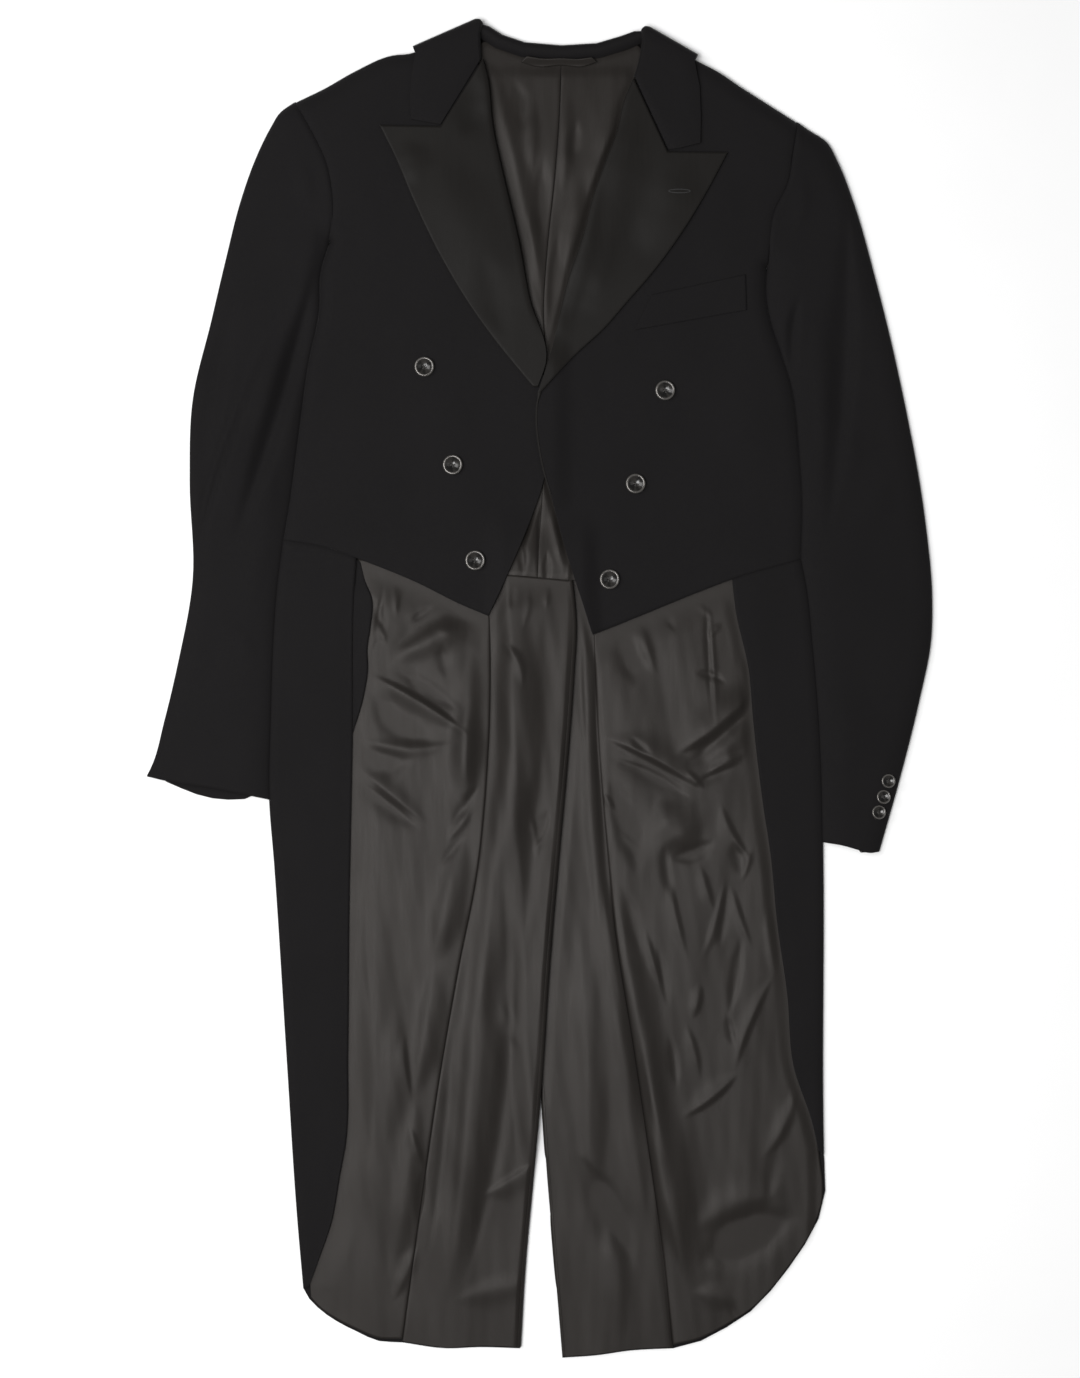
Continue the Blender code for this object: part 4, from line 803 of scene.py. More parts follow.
def opening_waves(side, x, y):
    """The folds of the back lining, which die out under the lapels and the fronts."""
    edge = smooth_line(ROLL_LINE[side] + [LAPEL_TIP[side]] + FRONT_EDGE_BELOW[side][1:])
    shown = rise(INWARD[side] * (x - x_at(edge, y)), BESIDE_OPENING) * rise(y, BELOW_NECK)
    seam = smooth_line(CENTRE_SEAM)
    return loose_height(BACK_FOLDS[side], seam, CENTRE_SEAM_GROOVE, x, y) * shown


def lining_height(side, level, x, y):
    """The height of a lining's upper side over wool whose outer side is at this level."""
    return level + WOOL + LAYER + LINING + lining_waves(side, x, y)


def as_grid(plan, height):
    """The points of a plan at these heights."""
    return np.concatenate([plan, height[..., None]], axis=2)


def raised(plan, height, side):
    """The points of a plan at the heights that a function of the side, x and y gives."""
    return as_grid(plan, height(side, plan[..., 0], plan[..., 1]))


def under_edge(plan, tuck, level=None, straight=False):
    """The columns that carry a panel round its first column and run on under it.

    They lie on the table, or at the level that a function of x and y gives. The cloth ends after
    the tuck or, if straight, on the line between the ends of its ends.
    """
    edge = plan[:, 0]
    away = np.linalg.norm(plan - edge[:, None], axis=2)
    column = np.argmax(away >= min(tuck, away.max(axis=1).min()) * TUCK_AIM, axis=1)
    inward = unit(plan[np.arange(len(plan)), column] - edge)
    reach = tuck
    if straight:
        ends = (edge + inward * tuck)[[0, -1]]
        square = np.array((ends[0, 1] - ends[1, 1], ends[1, 0] - ends[0, 0]))
        reach = (ends[0] - edge) @ square / (inward @ square)
    places = [(reach, 0.0)]
    for angle in FOLD_ANGLES:
        turn = math.radians(angle)
        places.append((FOLD * (1 - math.cos(turn)), FOLD * (1 - math.sin(turn))))
    columns = []
    for distance, up in places:
        place = edge + inward * np.reshape(distance, (-1, 1))
        height = level(*place.T) if level else np.zeros(len(place))
        columns.append(np.column_stack([place, height + up]))
    return np.stack(columns, axis=1)


# Materials, as procedural nodes in the coat's own coordinates


def set_inputs(made, values):
    """Sets inputs of a node, by name or number, to values or to outputs of other nodes."""
    for key, value in values.items():
        if isinstance(value, bpy.types.NodeSocket):
            made.id_data.links.new(value, made.inputs[key])
        else:
            made.inputs[key].default_value = value


def new_material(name):
    """A material, its node tree and its shader."""
    made = bpy.data.materials.new(name + "_look")
    made.use_nodes = True
    shader = made.node_tree.nodes["Principled BSDF"]
    set_inputs(shader, {"Metallic": 0.0})
    return made, made.node_tree, shader


def node(tree, kind, output, values=None, **settings):
    """An output of a new node that has these inputs and settings."""
    made = tree.nodes.new(kind)
    for key, value in settings.items():
        setattr(made, key, value)
    set_inputs(made, values or {})
    return made.outputs[output]


def mapped(tree, scale, turn=0.0):
    """Object coordinates, turned about Z by degrees and scaled."""
    place = node(tree, "ShaderNodeTexCoord", "Object")
    values = {"Vector": place, "Rotation": (0, 0, math.radians(turn)), "Scale": scale}
    return node(tree, "ShaderNodeMapping", "Vector", values)


def noise(tree, scale, turn=0.0, detail=3.0):
    """Noise from 0 to 1, this many times in a metre along each axis."""
    values = {"Vector": mapped(tree, scale, turn), "Scale": 1.0, "Detail": detail, "Roughness": 0.6}
    return node(tree, "ShaderNodeTexNoise", "Fac", values)


def ribs(tree, pitch, turn, wobble=0.6):
    """Fine parallel ribs this many millimetres apart, a little uneven."""
    values = {
        "Vector": mapped(tree, (1, 1, 1), turn), "Scale": 0.314 / (pitch * MM),
        "Distortion": wobble, "Detail": 2.0, "Detail Scale": 0.4,
    }
    return node(tree, "ShaderNodeTexWave", "Fac", values, wave_type="BANDS", bands_direction="X")


def mix(tree, a, b, share=0.5):
    """One value mixed with this share of another."""
    values = {"Factor": share, "A": a, "B": b}
    return node(tree, "ShaderNodeMix", "Result", values, data_type="FLOAT")


def to_range(tree, value, low, high, from_low=0.25, from_high=0.75):
    """A value carried from one range to another."""
    return node(tree, "ShaderNodeMapRange", "Result", {
        "Value": value, "From Min": from_low, "From Max": from_high, "To Min": low, "To Max": high,
    })


def blend(tree, value, dark, light):
    """A colour between two others by a value."""
    values = {"Factor": value, "A": dark, "B": light}
    return node(tree, "ShaderNodeMix", "Result", values, data_type="RGBA")


def bumped(tree, *layers):
    """Bump nodes one after another, each from a value, a distance in millimetres and a share."""
    normal = None
    for value, height, strength in layers:
        values = {"Height": value, "Distance": height * MM, "Strength": strength}
        if normal is not None:
            values["Normal"] = normal
        normal = node(tree, "ShaderNodeBump", "Normal", values)
    return normal


def wool_material():
    """Matt black wool with a fine diagonal weave."""
    made, tree, shader = new_material("wool")
    weave = mix(tree, ribs(tree, 0.8, 62), ribs(tree, 0.55, -20))
    nap = noise(tree, (900, 900, 900), detail=4)
    patches = noise(tree, (16, 11, 16), turn=20)
    dark, light = (0.0027, 0.0024, 0.0026, 1), (0.0072, 0.0063, 0.0068, 1)
    set_inputs(shader, {
        "Base Color": blend(tree, mix(tree, patches, nap), dark, light),
        "Roughness": to_range(tree, nap, 0.66, 0.86),
        "Specular IOR Level": 0.12, "Sheen Weight": 0.03, "Sheen Roughness": 0.5,
        "Normal": bumped(tree, (weave, 0.12, 0.55), (nap, 0.1, 0.4), (patches, 1.0, 0.25)),
    })
    return made


def satin_material(name, dark, light, roughness, gloss, turn, pitch, tint=(1, 1, 1, 1)):
    """Satin with fine ribs and long streaks, turned by degrees."""
    made, tree, shader = new_material(name)
    weave = ribs(tree, pitch, turn, 0.3)
    streaks = noise(tree, (420, 36, 60), turn)
    patches = noise(tree, (22, 14, 20), turn)
    set_inputs(shader, {
        "Base Color": blend(tree, mix(tree, patches, streaks, 0.35), dark, light),
        "Roughness": to_range(tree, streaks, *roughness),
        "Specular IOR Level": gloss, "Specular Tint": tint, "Sheen Weight": 0.02,
        "Normal": bumped(tree, (weave, 0.06, 0.3), (streaks, 0.12, 0.2), (patches, 1.2, 0.2)),
    })
    return made


def plastic_material(name, diameter):
    """Dark clouded plastic, by the distance from the button's middle, with its rim band painted
    lighter and part metal as a painted highlight for the light that the raised rim catches.
    """
    made, tree, shader = new_material(name)
    marks = noise(tree, (260, 260, 260), detail=5)
    plan = {0: node(tree, "ShaderNodeTexCoord", "Object"), 1: (1, 1, 0)}
    flat = node(tree, "ShaderNodeVectorMath", "Vector", plan, operation="MULTIPLY")
    far = node(tree, "ShaderNodeVectorMath", "Value", {0: flat}, operation="LENGTH")
    # Painted highlight: the rim band gets a lighter, part-metal colour that stands in for the light
    # the raised rim catches; its reflections are rendered on top
    start, end = (share * diameter / 2 * MM for share in PAINTED_RIM_HIGHLIGHT)
    rim = to_range(tree, far, 0, 1, start, end)
    clouds = to_range(tree, marks, 0, 1, 0.42, 0.62)
    cloud = blend(tree, clouds, (0.004, 0.0036, 0.0034, 1), (0.022, 0.02, 0.018, 1))
    set_inputs(shader, {
        "Base Color": blend(tree, rim, cloud, (0.12, 0.113, 0.106, 1)),
        "Metallic": to_range(tree, rim, 0.1, 0.6, 0, 1),
        "Roughness": to_range(tree, marks, 0.1, 0.26),
        "Specular IOR Level": 0.4, "Coat Weight": 0.1, "Coat Roughness": 0.06,
        "Normal": bumped(tree, (marks, 0.15, 0.4)),
    })
    return made


def thread_material(name, pitch, dark, light):
    """Twisted thread with this pitch."""
    made, tree, shader = new_material(name)
    twist = ribs(tree, pitch, 0)
    set_inputs(shader, {
        "Base Color": blend(tree, twist, dark, light), "Roughness": 0.7,
        "Normal": bumped(tree, (twist, 0.05, 0.5)),
    })
    return made


WOOL_CLOTH = wool_material()
SATIN_CLOTH = satin_material(
    "lapel_satin", dark=(0.0060, 0.0054, 0.0049, 1), light=(0.0115, 0.0104, 0.0094, 1),
    roughness=(0.42, 0.52), gloss=0.075, turn=60, pitch=0.5,
)
LINING_CLOTH = satin_material(
    "lining_satin", dark=(0.0100, 0.0087, 0.0078, 1), light=(0.0190, 0.0167, 0.0150, 1),
    roughness=(0.36, 0.43), gloss=0.142, turn=0, pitch=0.35, tint=(1.0, 0.955, 0.925, 1.0),
)
PLASTIC = {
    FRONT_BUTTON: plastic_material("buttons", FRONT_BUTTON),
    CUFF_BUTTON: plastic_material("cuff_buttons", CUFF_BUTTON),
}
THREAD = thread_material("thread", 0.25, (0.02, 0.019, 0.018, 1), (0.06, 0.056, 0.052, 1))
STITCHES = thread_material("stitches", 0.5, (0.0015, 0.0013, 0.0013, 1), (0.008, 0.007, 0.0065, 1))


# Meshes and objects


def to_mesh(name, made, material):
    """A smooth mesh from a bmesh, which it frees."""
    mesh = bpy.data.meshes.new(name)
    made.to_mesh(mesh)
    made.free()
    mesh.shade_smooth()
    mesh.materials.append(material)
    return mesh


def placed(name, content):
    """A new object in the scene."""
    made = bpy.data.objects.new(name, content)
    bpy.context.scene.collection.objects.link(made)
    return made


def add_grid(made, grid):
    """Adds a grid of points with its faces to a bmesh, and gives the points row after row."""
    rows, columns = grid.shape[:2]
    corners = [made.verts.new(place * MM) for place in grid.reshape(-1, 3)]
    for i in range(rows - 1):
        for at in range(i * columns, (i + 1) * columns - 1):
            made.faces.new([corners[k] for k in (at, at + 1, at + columns + 1, at + columns)])
    return corners


def add_sheet(name, made, wall, material, outside_up=True):
    """Makes a bmesh the cloth of its node: a sheet with its wall, fixed to the root, in place of
    the node's hidden part.
    """
    bmesh.ops.recalc_face_normals(made, faces=made.faces)
    highest = max(made.faces, key=lambda face: face.calc_center_median().z)
    if (highest.normal.z > 0) != outside_up:
        bmesh.ops.reverse_faces(made, faces=made.faces)
    cloth = placed(name + "_cloth", to_mesh(name, made, material))
    thick = cloth.modifiers.new("wall", "SOLIDIFY")
    thick.thickness = wall * MM
    thick.offset = -1.0
    cloth.modifiers.new("normals", "WEIGHTED_NORMAL")
    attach(cloth, "root")
    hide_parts(name)


def add_cloth(name, grid, wall=WOOL, material=WOOL_CLOTH, outside_up=True):
    """A sheet from a grid of points of its outer side."""
    made = bmesh.new()
    add_grid(made, grid)
    add_sheet(name, made, wall, material, outside_up)


def add_lining(name, grid):
    """A sheet of lining from a grid of points of its upper side."""
    add_cloth(name, grid, LINING, LINING_CLOTH)


def add_flat(name, outline, strip=None):
    """A flat wool underside, with a strip of further columns before the rest of its outline."""
    made = bmesh.new()
    rim = []
    if strip is not None:
        rim = add_grid(made, strip)[:: strip.shape[1]]
    made.faces.new(rim + [made.verts.new((x * MM, y * MM, 0)) for x, y in outline])
    add_sheet(name, made, WOOL, WOOL_CLOTH, outside_up=strip is not None)


# The pieces


def front_edge(side):
    """The front's edge: hidden under the collar and beside the lapel's roll, then free."""
    roll = curve(ROLL_LINE, side, -ROLL_MARGIN)
    return np.concatenate([curve(FRONT_EDGE_ABOVE, side), roll, curve(FRONT_EDGE_BELOW, side)])


def front_plan(side):
    """The front in plan, from its edge to the armhole and, below that, to the side body."""
    arm = curve(ARMHOLE, side, SEAM / 2)
    strip = curve(SIDE_EDGE, side, SIDE_STRIP + SEAM / 2)
    outer = np.concatenate([arm, strip])
    strip_down = np.concatenate([[0], SIDE_DOWN]) * lengths(strip)[-1] + lengths(outer)[len(arm)]
    down = np.concatenate([SLEEVE_ACROSS * lengths(arm)[-1], strip_down]) / strip_down[-1]
    return patch(
        front_edge(side), outer, FRONT_ACROSS, down,
        curve(SHOULDER, side), curve(FRONT_BOTTOM, side),
    )


def add_forepart(side):
    """The front, whose shoulder turns over to the back."""
    plan = front_plan(side)
    across = plan.transpose(1, 0, 2)
    over = under_edge(across, SHOULDER_TUCK, neck_lift, straight=True).transpose(1, 0, 2)
    add_cloth(f"forepart_{side}", np.concatenate([over, raised(plan, front_height, side)]))


def add_side_body(side):
    """The side panel: round the side fold, then flat under the coat to the back seam."""
    edge = along(curve(SIDE_EDGE, side), SIDE_DOWN)
    meeting = along(curve(SIDE_EDGE, side, SIDE_STRIP - SEAM), SIDE_DOWN)
    top = raised(np.stack([edge, (edge + meeting) / 2, meeting], axis=1), front_height, side)
    square = beside(edge, INWARD[side] * SIDE_TUCK)
    strip = np.concatenate([under_edge(np.stack([edge, square], axis=1), SIDE_TUCK), top], axis=1)
    waist = along(curve(WAIST_UNDER, side), (0.85, 0.7, 0.5, 0.3, 0.1, 0.03))
    waist = waist + (0, WAIST_GAP)
    seam = along(curve(BACK_SEAM, side, -HIDDEN_SEAM), SIDE_SEAM)
    add_flat(f"side_body_{side}", np.concatenate([waist, seam]), strip)


def shoulder_seam(side):
    """The straight seam between the back and the shoulder that the front turns under."""
    across = front_plan(side).transpose(1, 0, 2)
    return under_edge(across, SHOULDER_TUCK + HIDDEN_SEAM, straight=True)[:, 0, :2]


def back_plans(side):
    """The body and the tail of one back, from the centre out, which share their columns."""
    centre = beside(smooth_line(CENTRE_SEAM), -INWARD[side] * SEAM / 2)
    seam = shoulder_seam(side)
    top = np.concatenate([curve(NECK_SEAM, side), seam[[0, -1]]])
    arm = along(curve(ARMHOLE, side, -UNDERLAP), BACK_ARM)
    outer = np.concatenate([seam[-1:], arm, curve(BACK_SEAM, side, SEAM / 2)[1:]])
    body = patch(centre, outer, BACK_ACROSS, even(BACK_ROWS), top)
    tail = patch(
        curve(VENT, side), curve(TAIL_SEAM, side, SEAM / 2), BACK_ACROSS, even(TAIL_ROWS),
        end=curve(TAIL_HEM, side),
    )
    return body, tail


def add_back(side):
    """The wool back and its two linings, which are made from its own points."""
    body, tail = back_plans(side)
    plain = np.concatenate([body[PLAIN], tail[PLAIN]])
    add_cloth(f"back_{side}", raised(plain, back_level, side), outside_up=False)

    shown = inset(body, last_column=BACK_LINING_MARGIN, first_row=-NECK_LAP)
    shown[-1, :, 1] = np.interp(shown[-1, :, 0], *WAIST_SEAM) + SEAM
    shown[-2, :, 1] = (shown[-1, :, 1] + shown[-3, :, 1]) / 2
    x, y = shown[..., 0], shown[..., 1]
    height = lining_height(side, neck_lift(x, y) + vent_lift(x, y), x, y)
    add_lining(f"back_lining_{side}", as_grid(shown, height + opening_waves(side, x, y)))

    shown = inset(tail, first_column=VENT_MARGIN, last_row=HEM_MARGIN)
    x, y = shown[..., 0], shown[..., 1]
    height = lining_height(side, back_level(side, x, y), x, y)
    add_lining(f"tail_lining_{side}", as_grid(shown, height))


def skirt_top(side):
    """The waist seam above the skirt, through the points of the front's own bottom edge."""
    bottom = front_plan(side)[-1, ::-1]
    front = curve(SKIRT_FRONT, side)[:1]
    between = bottom[np.abs(bottom[:, 0]) > abs(front[0, 0]) + 2] - (0, SEAM)
    return np.concatenate([curve(SKIRT_FOLD, side)[:1], between, front])


def add_skirt(side):
    """The skirt: over the lining, round the side fold, then flat below to the tail seam."""
    fold = curve(SKIRT_FOLD, side)
    start = skirt_top(side)
    across = finer(lengths(start) / lengths(start)[-1], 2)
    plan = patch(fold, curve(SKIRT_FRONT, side), across, even(SKIRT_ROWS), start)
    strip = [under_edge(plan, SKIRT_TUCK), raised(plan, skirt_height, side)]
    hem = along(curve(SKIRT_HEM, side), even(10)[::-1])
    seam = along(curve(TAIL_SEAM, side, -SEAM), even(TAIL_ROWS)[::-1])
    waist = along(curve(WAIST_UNDER, side), (0.3, 0.6, 0.85))
    outline = np.concatenate([fold[-1:], hem[:-1], seam, waist])
    add_flat(f"skirt_{side}", outline, np.concatenate(strip, axis=1))


def add_skirt_lining(side):
    """The lining of the skirt, from the tail seam to its free edge."""
    seam = along(curve(TAIL_SEAM, side, -SEAM), SKIRT_SEAM)
    plan = patch(
        seam, curve(LINING_EDGE, side), even(SKIRT_LINING_ACROSS), even(TAIL_ROWS),
        end=curve(LINING_HEM, side),
    )
    height = lining_height(side, 0.0, plan[..., 0], plan[..., 1])
    add_lining(f"skirt_lining_{side}", as_grid(plan, height))


def sleeve_inner(side):
    """The sleeve's inner edge, just inside the body's side down to the cuff."""
    skirt = curve(SKIRT_FOLD, side)[1:]
    cuff_y = CUFF_TOP[side][-1].y
    cuff = [(x_at(skirt, cuff_y), cuff_y)]
    edge = np.concatenate([curve(SIDE_EDGE, side), skirt[skirt[:, 1] > cuff_y + 1], cuff])
    return beside(edge, INWARD[side] * SLEEVE_OVERLAP)


def add_sleeve(side):
    """The upper part of a sleeve, which turns under at both edges, and the flat part below."""
    plan = patch(
        curve(SLEEVE_OUTER, side), sleeve_inner(side), SLEEVE_ACROSS, even(SLEEVE_ROWS),
        curve(ARMHOLE, side, -SEAM / 2), curve(CUFF_TOP, side),
    )
    from_inner = plan[:, ::-1]
    grid = np.concatenate([
        under_edge(plan, SLEEVE_TUCK), raised(plan, sleeve_height, side),
        under_edge(from_inner, SLEEVE_TUCK)[:, ::-1],
    ], axis=1)
    hidden = grid[:1].copy()
    hidden[0, :, :2] += unit(grid[0, :, :2] - grid[1, :, :2]) * SEAM_ALLOWANCE
    hidden[0, :, 2] = np.maximum(hidden[0, :, 2] - WOOL - ALLOWANCE_DROP, 0.0)
    add_cloth(f"top_sleeve_{side}", np.concatenate([hidden, grid]))

    outer_seam = under_edge(plan, SLEEVE_TUCK + HIDDEN_SEAM)[:, 0, :2]
    inner_seam = under_edge(from_inner, SLEEVE_TUCK + 2 * HIDDEN_SEAM)[:, 0, :2]
    top = along(curve(ARMHOLE, side, -UNDERLAP - HIDDEN_SEAM), even(40))
    clear = np.linalg.norm(top - top[0], axis=1) > SLEEVE_TUCK + SLEEVE_CLEAR
    clear &= np.linalg.norm(top - top[-1], axis=1) > SLEEVE_TUCK + SLEEVE_CLEAR
    cuff = along(curve(CUFF_UNDER, side), even(6))
    outline = np.concatenate([outer_seam, cuff, inner_seam[::-1], top[clear][::-1]])
    add_flat(f"under_sleeve_{side}", outline)


def piping(tip, share):
    """The rows that carry the left lapel's satin on as a fine line down the front's edge."""
    line = smooth_line([tip[-2, :2], *FRONT_EDGE_BELOW["L"][1:4]])
    line = along(line, even(PIPING_ROWS))[1:]
    fade = 1 - rise(lengths(line), PIPING_FADE)[:, None]
    width = PIPING_WIDTH + (np.linalg.norm(tip[0, :2] - tip[-2, :2]) - PIPING_WIDTH) * fade
    plan = line[:, None] + (1 - share)[None, :, None] * width[..., None] * (1.0, 0.1)
    plan = plan - (PIPING_SHIFT, 0)
    height = chest_height("L", plan[..., 0], plan[..., 1]) + PIPING_LIFT
    height = height + (LAPEL_LIFT + SATIN - PIPING_DEPTH) * fade
    height = height - PIPING_LIFT * np.abs(2 * share - 1) ** 3
    lower = np.column_stack([plan[:, -1], height[:, -1] - PIPING_DEPTH])[:, None]
    return np.concatenate([as_grid(plan, height), lower], axis=1)


def add_lapel(side):
    """A satin facing: it lies on the front and rolls over its edge, down to the lining."""
    outer = curve(LAPEL_EDGE, side)
    roll = smooth_line(ROLL_LINE[side] + [LAPEL_TIP[side]])
    share = LAPEL_ACROSS
    peak = along([outer[0], NOTCH[side]], share / LAPEL_CORNER)
    gorge = along([NOTCH[side], roll[0]], (share - LAPEL_CORNER) / (1 - LAPEL_CORNER))
    top = np.where((share <= LAPEL_CORNER)[:, None], peak, gorge)
    down = even(LAPEL_ROWS)
    end = along([outer[-1], roll[-1]], share)
    plan = span(along(outer, down), along(roll, down), top, end, share, down)
    x, y = plan[..., 0], plan[..., 1]
    tip = rise(down, LAPEL_TIP_RAMP)
    crown = 1 - round_off(roll, x, y, LAPEL_ROLL_ROUND)
    height = chest_height(side, x, y) + LAPEL_LIFT + SATIN + fold_height(LAPEL_FOLDS[side], x, y)
    height = height - LAPEL_ROLL_DROP * crown * (1 - tip[:, None])
    height = height - groove(outer, x, y, *LAPEL_GROOVE)
    x, y = x[:, -1], y[:, -1]
    low = WOOL + LAYER + LINING + 2 * LAYER + neck_lift(x, y) + vent_lift(x, y)
    low = low + (height[:, -1] - LAPEL_TIP_WALL - low) * tip
    tucked = plan[:, -1] + (plan[:, -2] - plan[:, -1]) * 0.1
    rolled = np.column_stack([tucked, low])[:, None]
    grid = np.concatenate([as_grid(plan, height), rolled], axis=1)
    if side == "L":
        grid = np.concatenate([grid, piping(grid[-1], share)])
    add_cloth(f"lapel_{side}", grid, SATIN, SATIN_CLOTH)


def collar_section(turn, length):
    """Places across the collar, from the neck seam over its fold to its free edge.

    Each is a distance towards the free edge and a depth under the outer side. The turn is 0 on
    the chest, where the stand hides under the fold, and half a circle under the back of the neck.
    """
    back = (1 - math.cos(turn)) / 2
    roll = 3.5 + 2.0 * back
    places = [
        (0.6 + 12.4 * back, -7.8 + 1.2 * back),
        (0.3 + (roll + 1.2) * back, -6.2 - (2 * roll - 7.0) * back),
        (0.1 + 0.3 * roll * back, -4.6 - (1.7 * roll - 4.6) * back),
        (0.0, -roll),
        (0.3 * roll, -0.3 * roll),
    ]
    return places + [(roll + (length - roll) * share, 0.0) for share in (0, 0.3, 0.65, 1)]


def collar_rows():
    """Stations along the collar with their turn, from the right gorge round to the left one."""
    rows = [(row, 0.0, None) for row in COLLAR_LEAF["R"]]
    turns = np.radians((0, 45, 90, 135, 180))
    for side, order in (("R", turns), ("L", turns[::-1])):
        line = np.array(COLLAR_TURN[side], float)
        way = unit(line[1] - line[0])
        outward = np.array((-way[1], way[0])) * -INWARD[side]
        if side == "L":
            rows += [(row, math.pi, None) for row in COLLAR_BACK]
        for turn in order:
            back = outward * COLLAR_HEIGHT / 2 * (math.sin(turn) - 1)
            rows.append((Station(*(line[0] + back), *(line[1] + back)), turn, outward))
    return rows + [(row, 0.0, None) for row in COLLAR_LEAF["L"][::-1]]


def add_collar():
    """The collar with its stand, which lies on the fronts and turns under behind the neck."""
    grid = []
    for station, turn, outward in collar_rows():
        fold, edge = np.reshape(station, (2, 2))
        side = "R" if fold[0] < CENTRE_SEAM[0].x else "L"
        row = []
        for forward, depth in collar_section(turn, np.linalg.norm(edge - fold)):
            x, y = fold + unit(edge - fold) * forward
            if outward is None:
                top = chest_height(side, x, y) + LAPEL_LIFT + COLLAR_WOOL
            else:
                top = COLLAR_HEIGHT
                x, y = (x, y) + outward * math.sin(turn) * depth
            row.append((x, y, (1 + math.cos(turn)) / 2 * top + depth * math.cos(turn)))
        grid.append(row)
    add_cloth("collar", np.array(grid, float), COLLAR_WOOL)


def add_breast_welt():
    """The welt of the breast pocket, which lies on the left front."""
    a, b, c, d = np.array(WELT_CORNERS, float)
    plan = patch(np.stack([a, d]), np.stack([b, c]), *map(even, WELT_POINTS))
    height = front_height("L", plan[..., 0], plan[..., 1]) + SEAM + LINING
    add_cloth("breast_welt", as_grid(plan, height), LINING)


def add_hanger_loop():
    """The loop at the middle of the neck, on the back lining."""
    upper, lower = (smooth_line(line) for line in HANGER_LOOP)
    plan = patch(upper, lower, *map(even, HANGER_POINTS))
    height = HANGER_LIFT + HANGER_RISE * rise(plan[..., 1], HANGER_RAMP)
    add_lining("hanger_loop", as_grid(plan, NECK_LIFT + WOOL + LAYER + LINING + height))


def add_skirt_facing():
    """The wool facing that shows beside the right skirt's front edge, on its lining."""
    outer = along(curve(SKIRT_FRONT, "R", SEAM + FACING_GAP), np.linspace(0, FACING_SHARE, 40))
    inner = smooth_line(FACING_EDGE)
    plan = patch(outer, inner, *map(even, FACING_POINTS))
    x, y = plan[..., 0], plan[..., 1]
    height = WOOL + LAYER + LINING + 2 * LAYER + lining_waves("R", x, y)
    height = height - FACING_DIP * (1 - rise(y, FACING_RAMP)) - groove(inner, x, y, *FACING_GROOVE)
    add_cloth("skirt_facing_R", as_grid(plan, height + LINING), LINING)


def circle(steps):
    """Angles all round a circle."""
    return np.arange(steps) * 2 * math.pi / steps


def add_buttonhole():
    """The worked buttonhole in the left lapel: a slit with a ring of close stitches round it."""
    made = bmesh.new()
    rings = []
    half, narrow = BUTTONHOLE_HALF
    for angle in circle(BUTTONHOLE_STEPS):
        x = BUTTONHOLE.x + half * math.cos(angle)
        y = BUTTONHOLE.y + narrow * math.sin(angle)
        out = unit(np.array((x - BUTTONHOLE.x, (y - BUTTONHOLE.y) * 8)))
        level = chest_height("L", x, y) + fold_height(LAPEL_FOLDS["L"], x, y)
        level = float(level) + LAPEL_LIFT + SATIN + STITCH_LIFT
        rings.append([
            made.verts.new((
                (x + out[0] * STITCH_RADIUS * math.cos(turn)) * MM,
                (y + out[1] * STITCH_RADIUS * math.cos(turn)) * MM,
                (level + 0.55 * STITCH_RADIUS * math.sin(turn)) * MM,
            ))
            for turn in circle(STITCH_STEPS)
        ])
    for ring, after in zip(rings, rings[1:] + rings[:1]):
        for j in range(len(ring)):
            made.faces.new((ring[j - 1], ring[j], after[j], after[j - 1]))
    bmesh.ops.recalc_face_normals(made, faces=made.faces)
    piece = placed("buttonhole_L", to_mesh("buttonhole", made, STITCHES))
    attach(piece, "root")


# Buttons, each a turned disc with a dished middle, four holes and the thread through them


def turned(profile, steps):
    """A closed mesh turned from radius, height pairs that start and end on the axis."""
    made = bmesh.new()
    rings = []
    for radius, height in profile:
        angles = circle(steps) if radius else (0,)
        rings.append([
            made.verts.new((radius * math.cos(a), radius * math.sin(a), height)) for a in angles
        ])
    for lower, upper in zip(rings, rings[1:]):
        for i in range(steps):
            ring = [lower[i % len(lower)], lower[(i + 1) % len(lower)],
                    upper[(i + 1) % len(upper)], upper[i % len(upper)]]
            made.faces.new(list(dict.fromkeys(ring)))
    return made


def button_mesh(name, diameter):
    """A turned button with a dished middle and a raised rim."""
    radius = diameter / 2 * MM
    made = turned([(x * radius, z * radius) for x, z in BUTTON_PROFILE], BUTTON_STEPS)
    bmesh.ops.recalc_face_normals(made, faces=made.faces)
    return to_mesh(name, made, PLASTIC[diameter])


def join(made, piece):
    """Adds one bmesh to another and frees it."""
    mesh = bpy.data.meshes.new("piece")
    piece.to_mesh(mesh)
    piece.free()
    made.from_mesh(mesh)
    bpy.data.meshes.remove(mesh)


def thread_mesh(name, diameter):
    """Two crossed bars of thread over four holes, all in shares of the button's radius."""
    radius = diameter / 2 * MM
    reach = 0.2 * radius
    hole_profile = [(0, 0.012 * radius), (0.07 * radius, 0.012 * radius), (0.075 * radius, 0)]
    made = bmesh.new()
    for turn in (math.pi / 4, math.pi * 3 / 4):
        for way in (1, -1):
            hole = turned(hole_profile, HOLE_STEPS)
            place = (way * reach * math.cos(turn), way * reach * math.sin(turn), 0.12 * radius)
            bmesh.ops.translate(hole, verts=hole.verts, vec=place)
            join(made, hole)
        bar = bmesh.new()
        bmesh.ops.create_cube(bar, size=1.0)
        bmesh.ops.scale(bar, verts=bar.verts, vec=(2 * reach, 0.09 * radius, 0.06 * radius))
        bmesh.ops.bevel(
            bar, geom=bar.edges[:], offset=0.02 * radius, segments=2, affect="EDGES",
        )
        bmesh.ops.rotate(bar, verts=bar.verts, matrix=Matrix.Rotation(turn, 3, "Z"))
        height = (0.15 + 0.03 * math.sin(turn)) * radius
        bmesh.ops.translate(bar, verts=bar.verts, vec=(0, 0, height))
        join(made, bar)
    return to_mesh(name, made, THREAD)


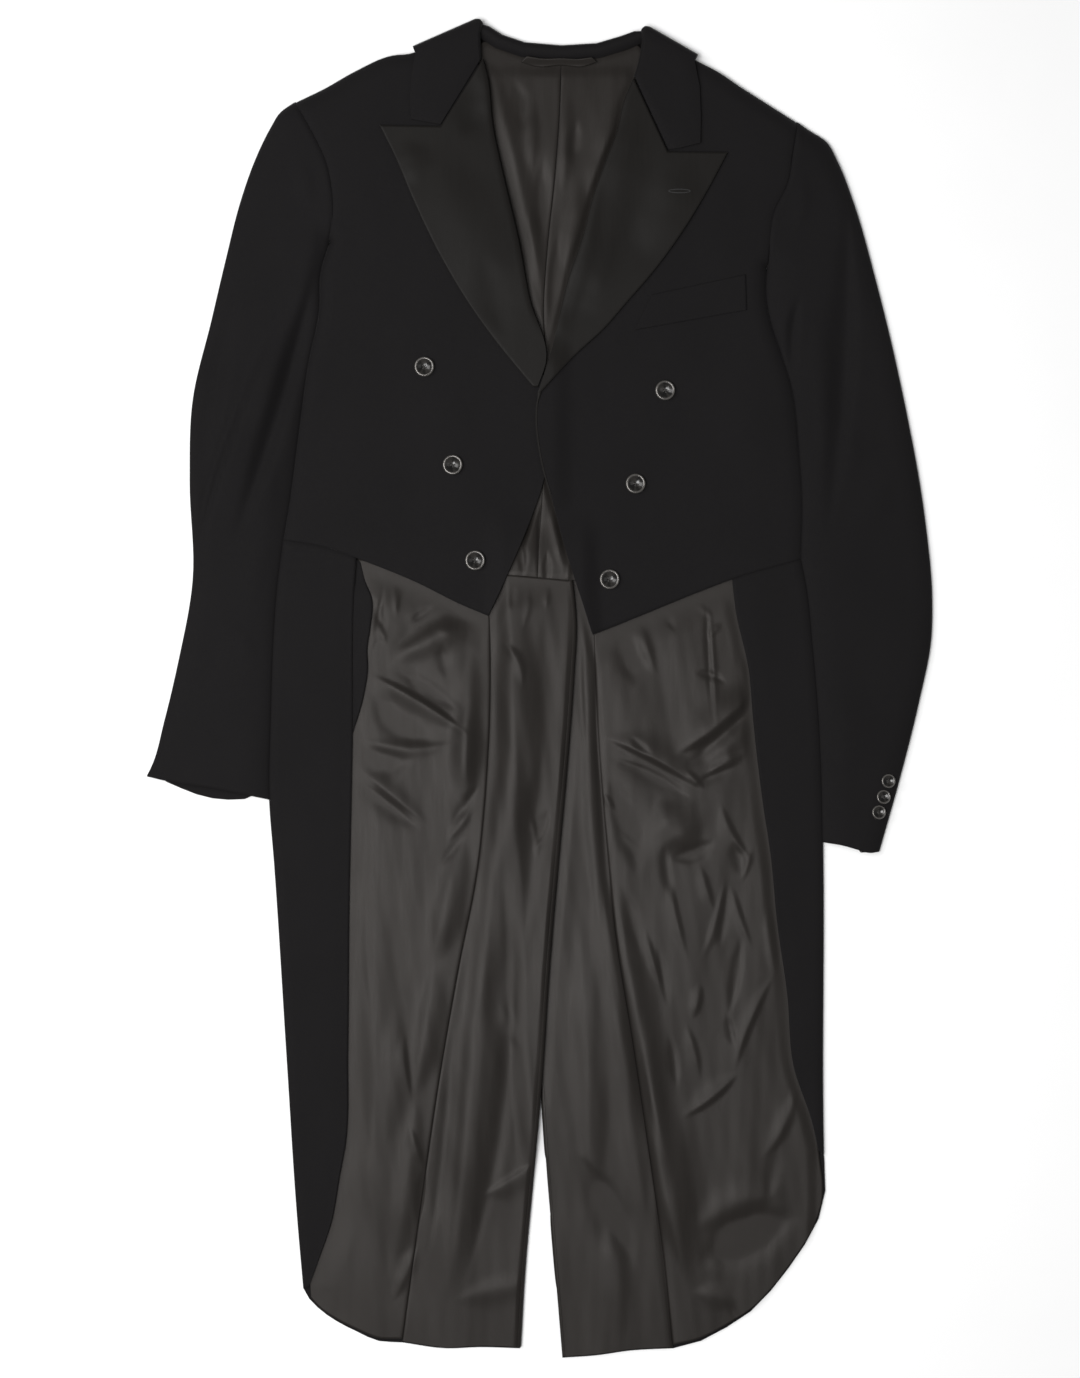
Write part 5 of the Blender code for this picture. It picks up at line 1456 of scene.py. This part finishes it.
def add_button(name, diameter, height, button):
    """A button that lies on the cloth whose height function is given, tilted as it is."""
    side, x, y, turn = button
    reach = 4.0
    slope_x = float(height(side, x + reach, y) - height(side, x - reach, y)) / (2 * reach)
    slope_y = float(height(side, x, y + reach) - height(side, x, y - reach)) / (2 * reach)
    level = float(height(side, x, y)) + BUTTON_LIFT
    for suffix, make in (("", button_mesh), ("_thread", thread_mesh)):
        piece = placed(name + "_look" + suffix, make(name, diameter))
        piece.rotation_euler = (math.atan(slope_y), -math.atan(slope_x), math.radians(turn))
        piece.location = (x * MM, y * MM, level * MM)
        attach(piece, "root")
        if not suffix:
            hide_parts(name)


for SIDE in SIDES:
    add_back(SIDE)
    add_side_body(SIDE)
    add_forepart(SIDE)
    add_skirt(SIDE)
    add_skirt_lining(SIDE)
    add_sleeve(SIDE)
    add_lapel(SIDE)
add_collar()
add_buttonhole()
add_hanger_loop()
add_breast_welt()
add_skirt_facing()
for NUMBER, BUTTON in enumerate(FRONT_BUTTONS, 1):
    add_button(f"front_button_{NUMBER}", FRONT_BUTTON, front_height, BUTTON)
for NUMBER, BUTTON in enumerate(CUFF_BUTTONS, 1):
    add_button(f"cuff_button_{NUMBER}", CUFF_BUTTON, sleeve_height, BUTTON)


# Floor, light and camera


def add_floor():
    """A white floor just under the coat."""
    half = 3.0
    z = -FLOOR_DROP * MM
    mesh = bpy.data.meshes.new("floor")
    mesh.from_pydata([(-half, -half, z), (half, -half, z), (half, half, z), (-half, half, z)],
                     [], [(0, 1, 2, 3)])
    made, tree, shader = new_material("floor")
    colour = blend(tree, noise(tree, (6, 6, 6)), (0.86, 0.86, 0.86, 1), (0.9, 0.9, 0.9, 1))
    set_inputs(shader, {"Base Color": colour, "Roughness": 0.9})
    mesh.materials.append(made)
    placed("floor", mesh)


def add_light(name, place, size, power):
    """A square light that looks at a point half as far from the middle as it is itself."""
    lamp = bpy.data.lights.new(name, "AREA")
    lamp.size = size
    lamp.energy = power
    light = placed(name, lamp)
    light.location = place
    away = Vector((place[0] * 0.5, place[1] * 0.5, 0)) - light.location
    light.rotation_euler = away.to_track_quat("-Z", "Y").to_euler()


add_floor()
add_light("top", (-0.82, -0.3, 2.85), size=1.4, power=79)
add_light("left", (-1.6, 0.6, 1.8), size=1.2, power=22)
add_light("right", (1.6, 0.2, 1.8), size=1.2, power=3)
WORLD = bpy.data.worlds.new("studio")
WORLD.use_nodes = True
set_inputs(WORLD.node_tree.nodes["Background"], {"Color": (1, 1, 1, 1), "Strength": 0.24})
bpy.context.scene.world = WORLD
bpy.context.scene.view_settings.view_transform = "Standard"

LENS = bpy.data.cameras.new("camera")
LENS.sensor_fit = "VERTICAL"
LENS.sensor_height = SENSOR
LENS.lens = SENSOR * CAMERA_HEIGHT / (PHOTO_HEIGHT * PIXEL)
LENS.clip_end = 10.0
CAMERA = placed("camera", LENS)
CAMERA.location = (0.0, 0.0, CAMERA_HEIGHT)
bpy.context.scene.camera = CAMERA
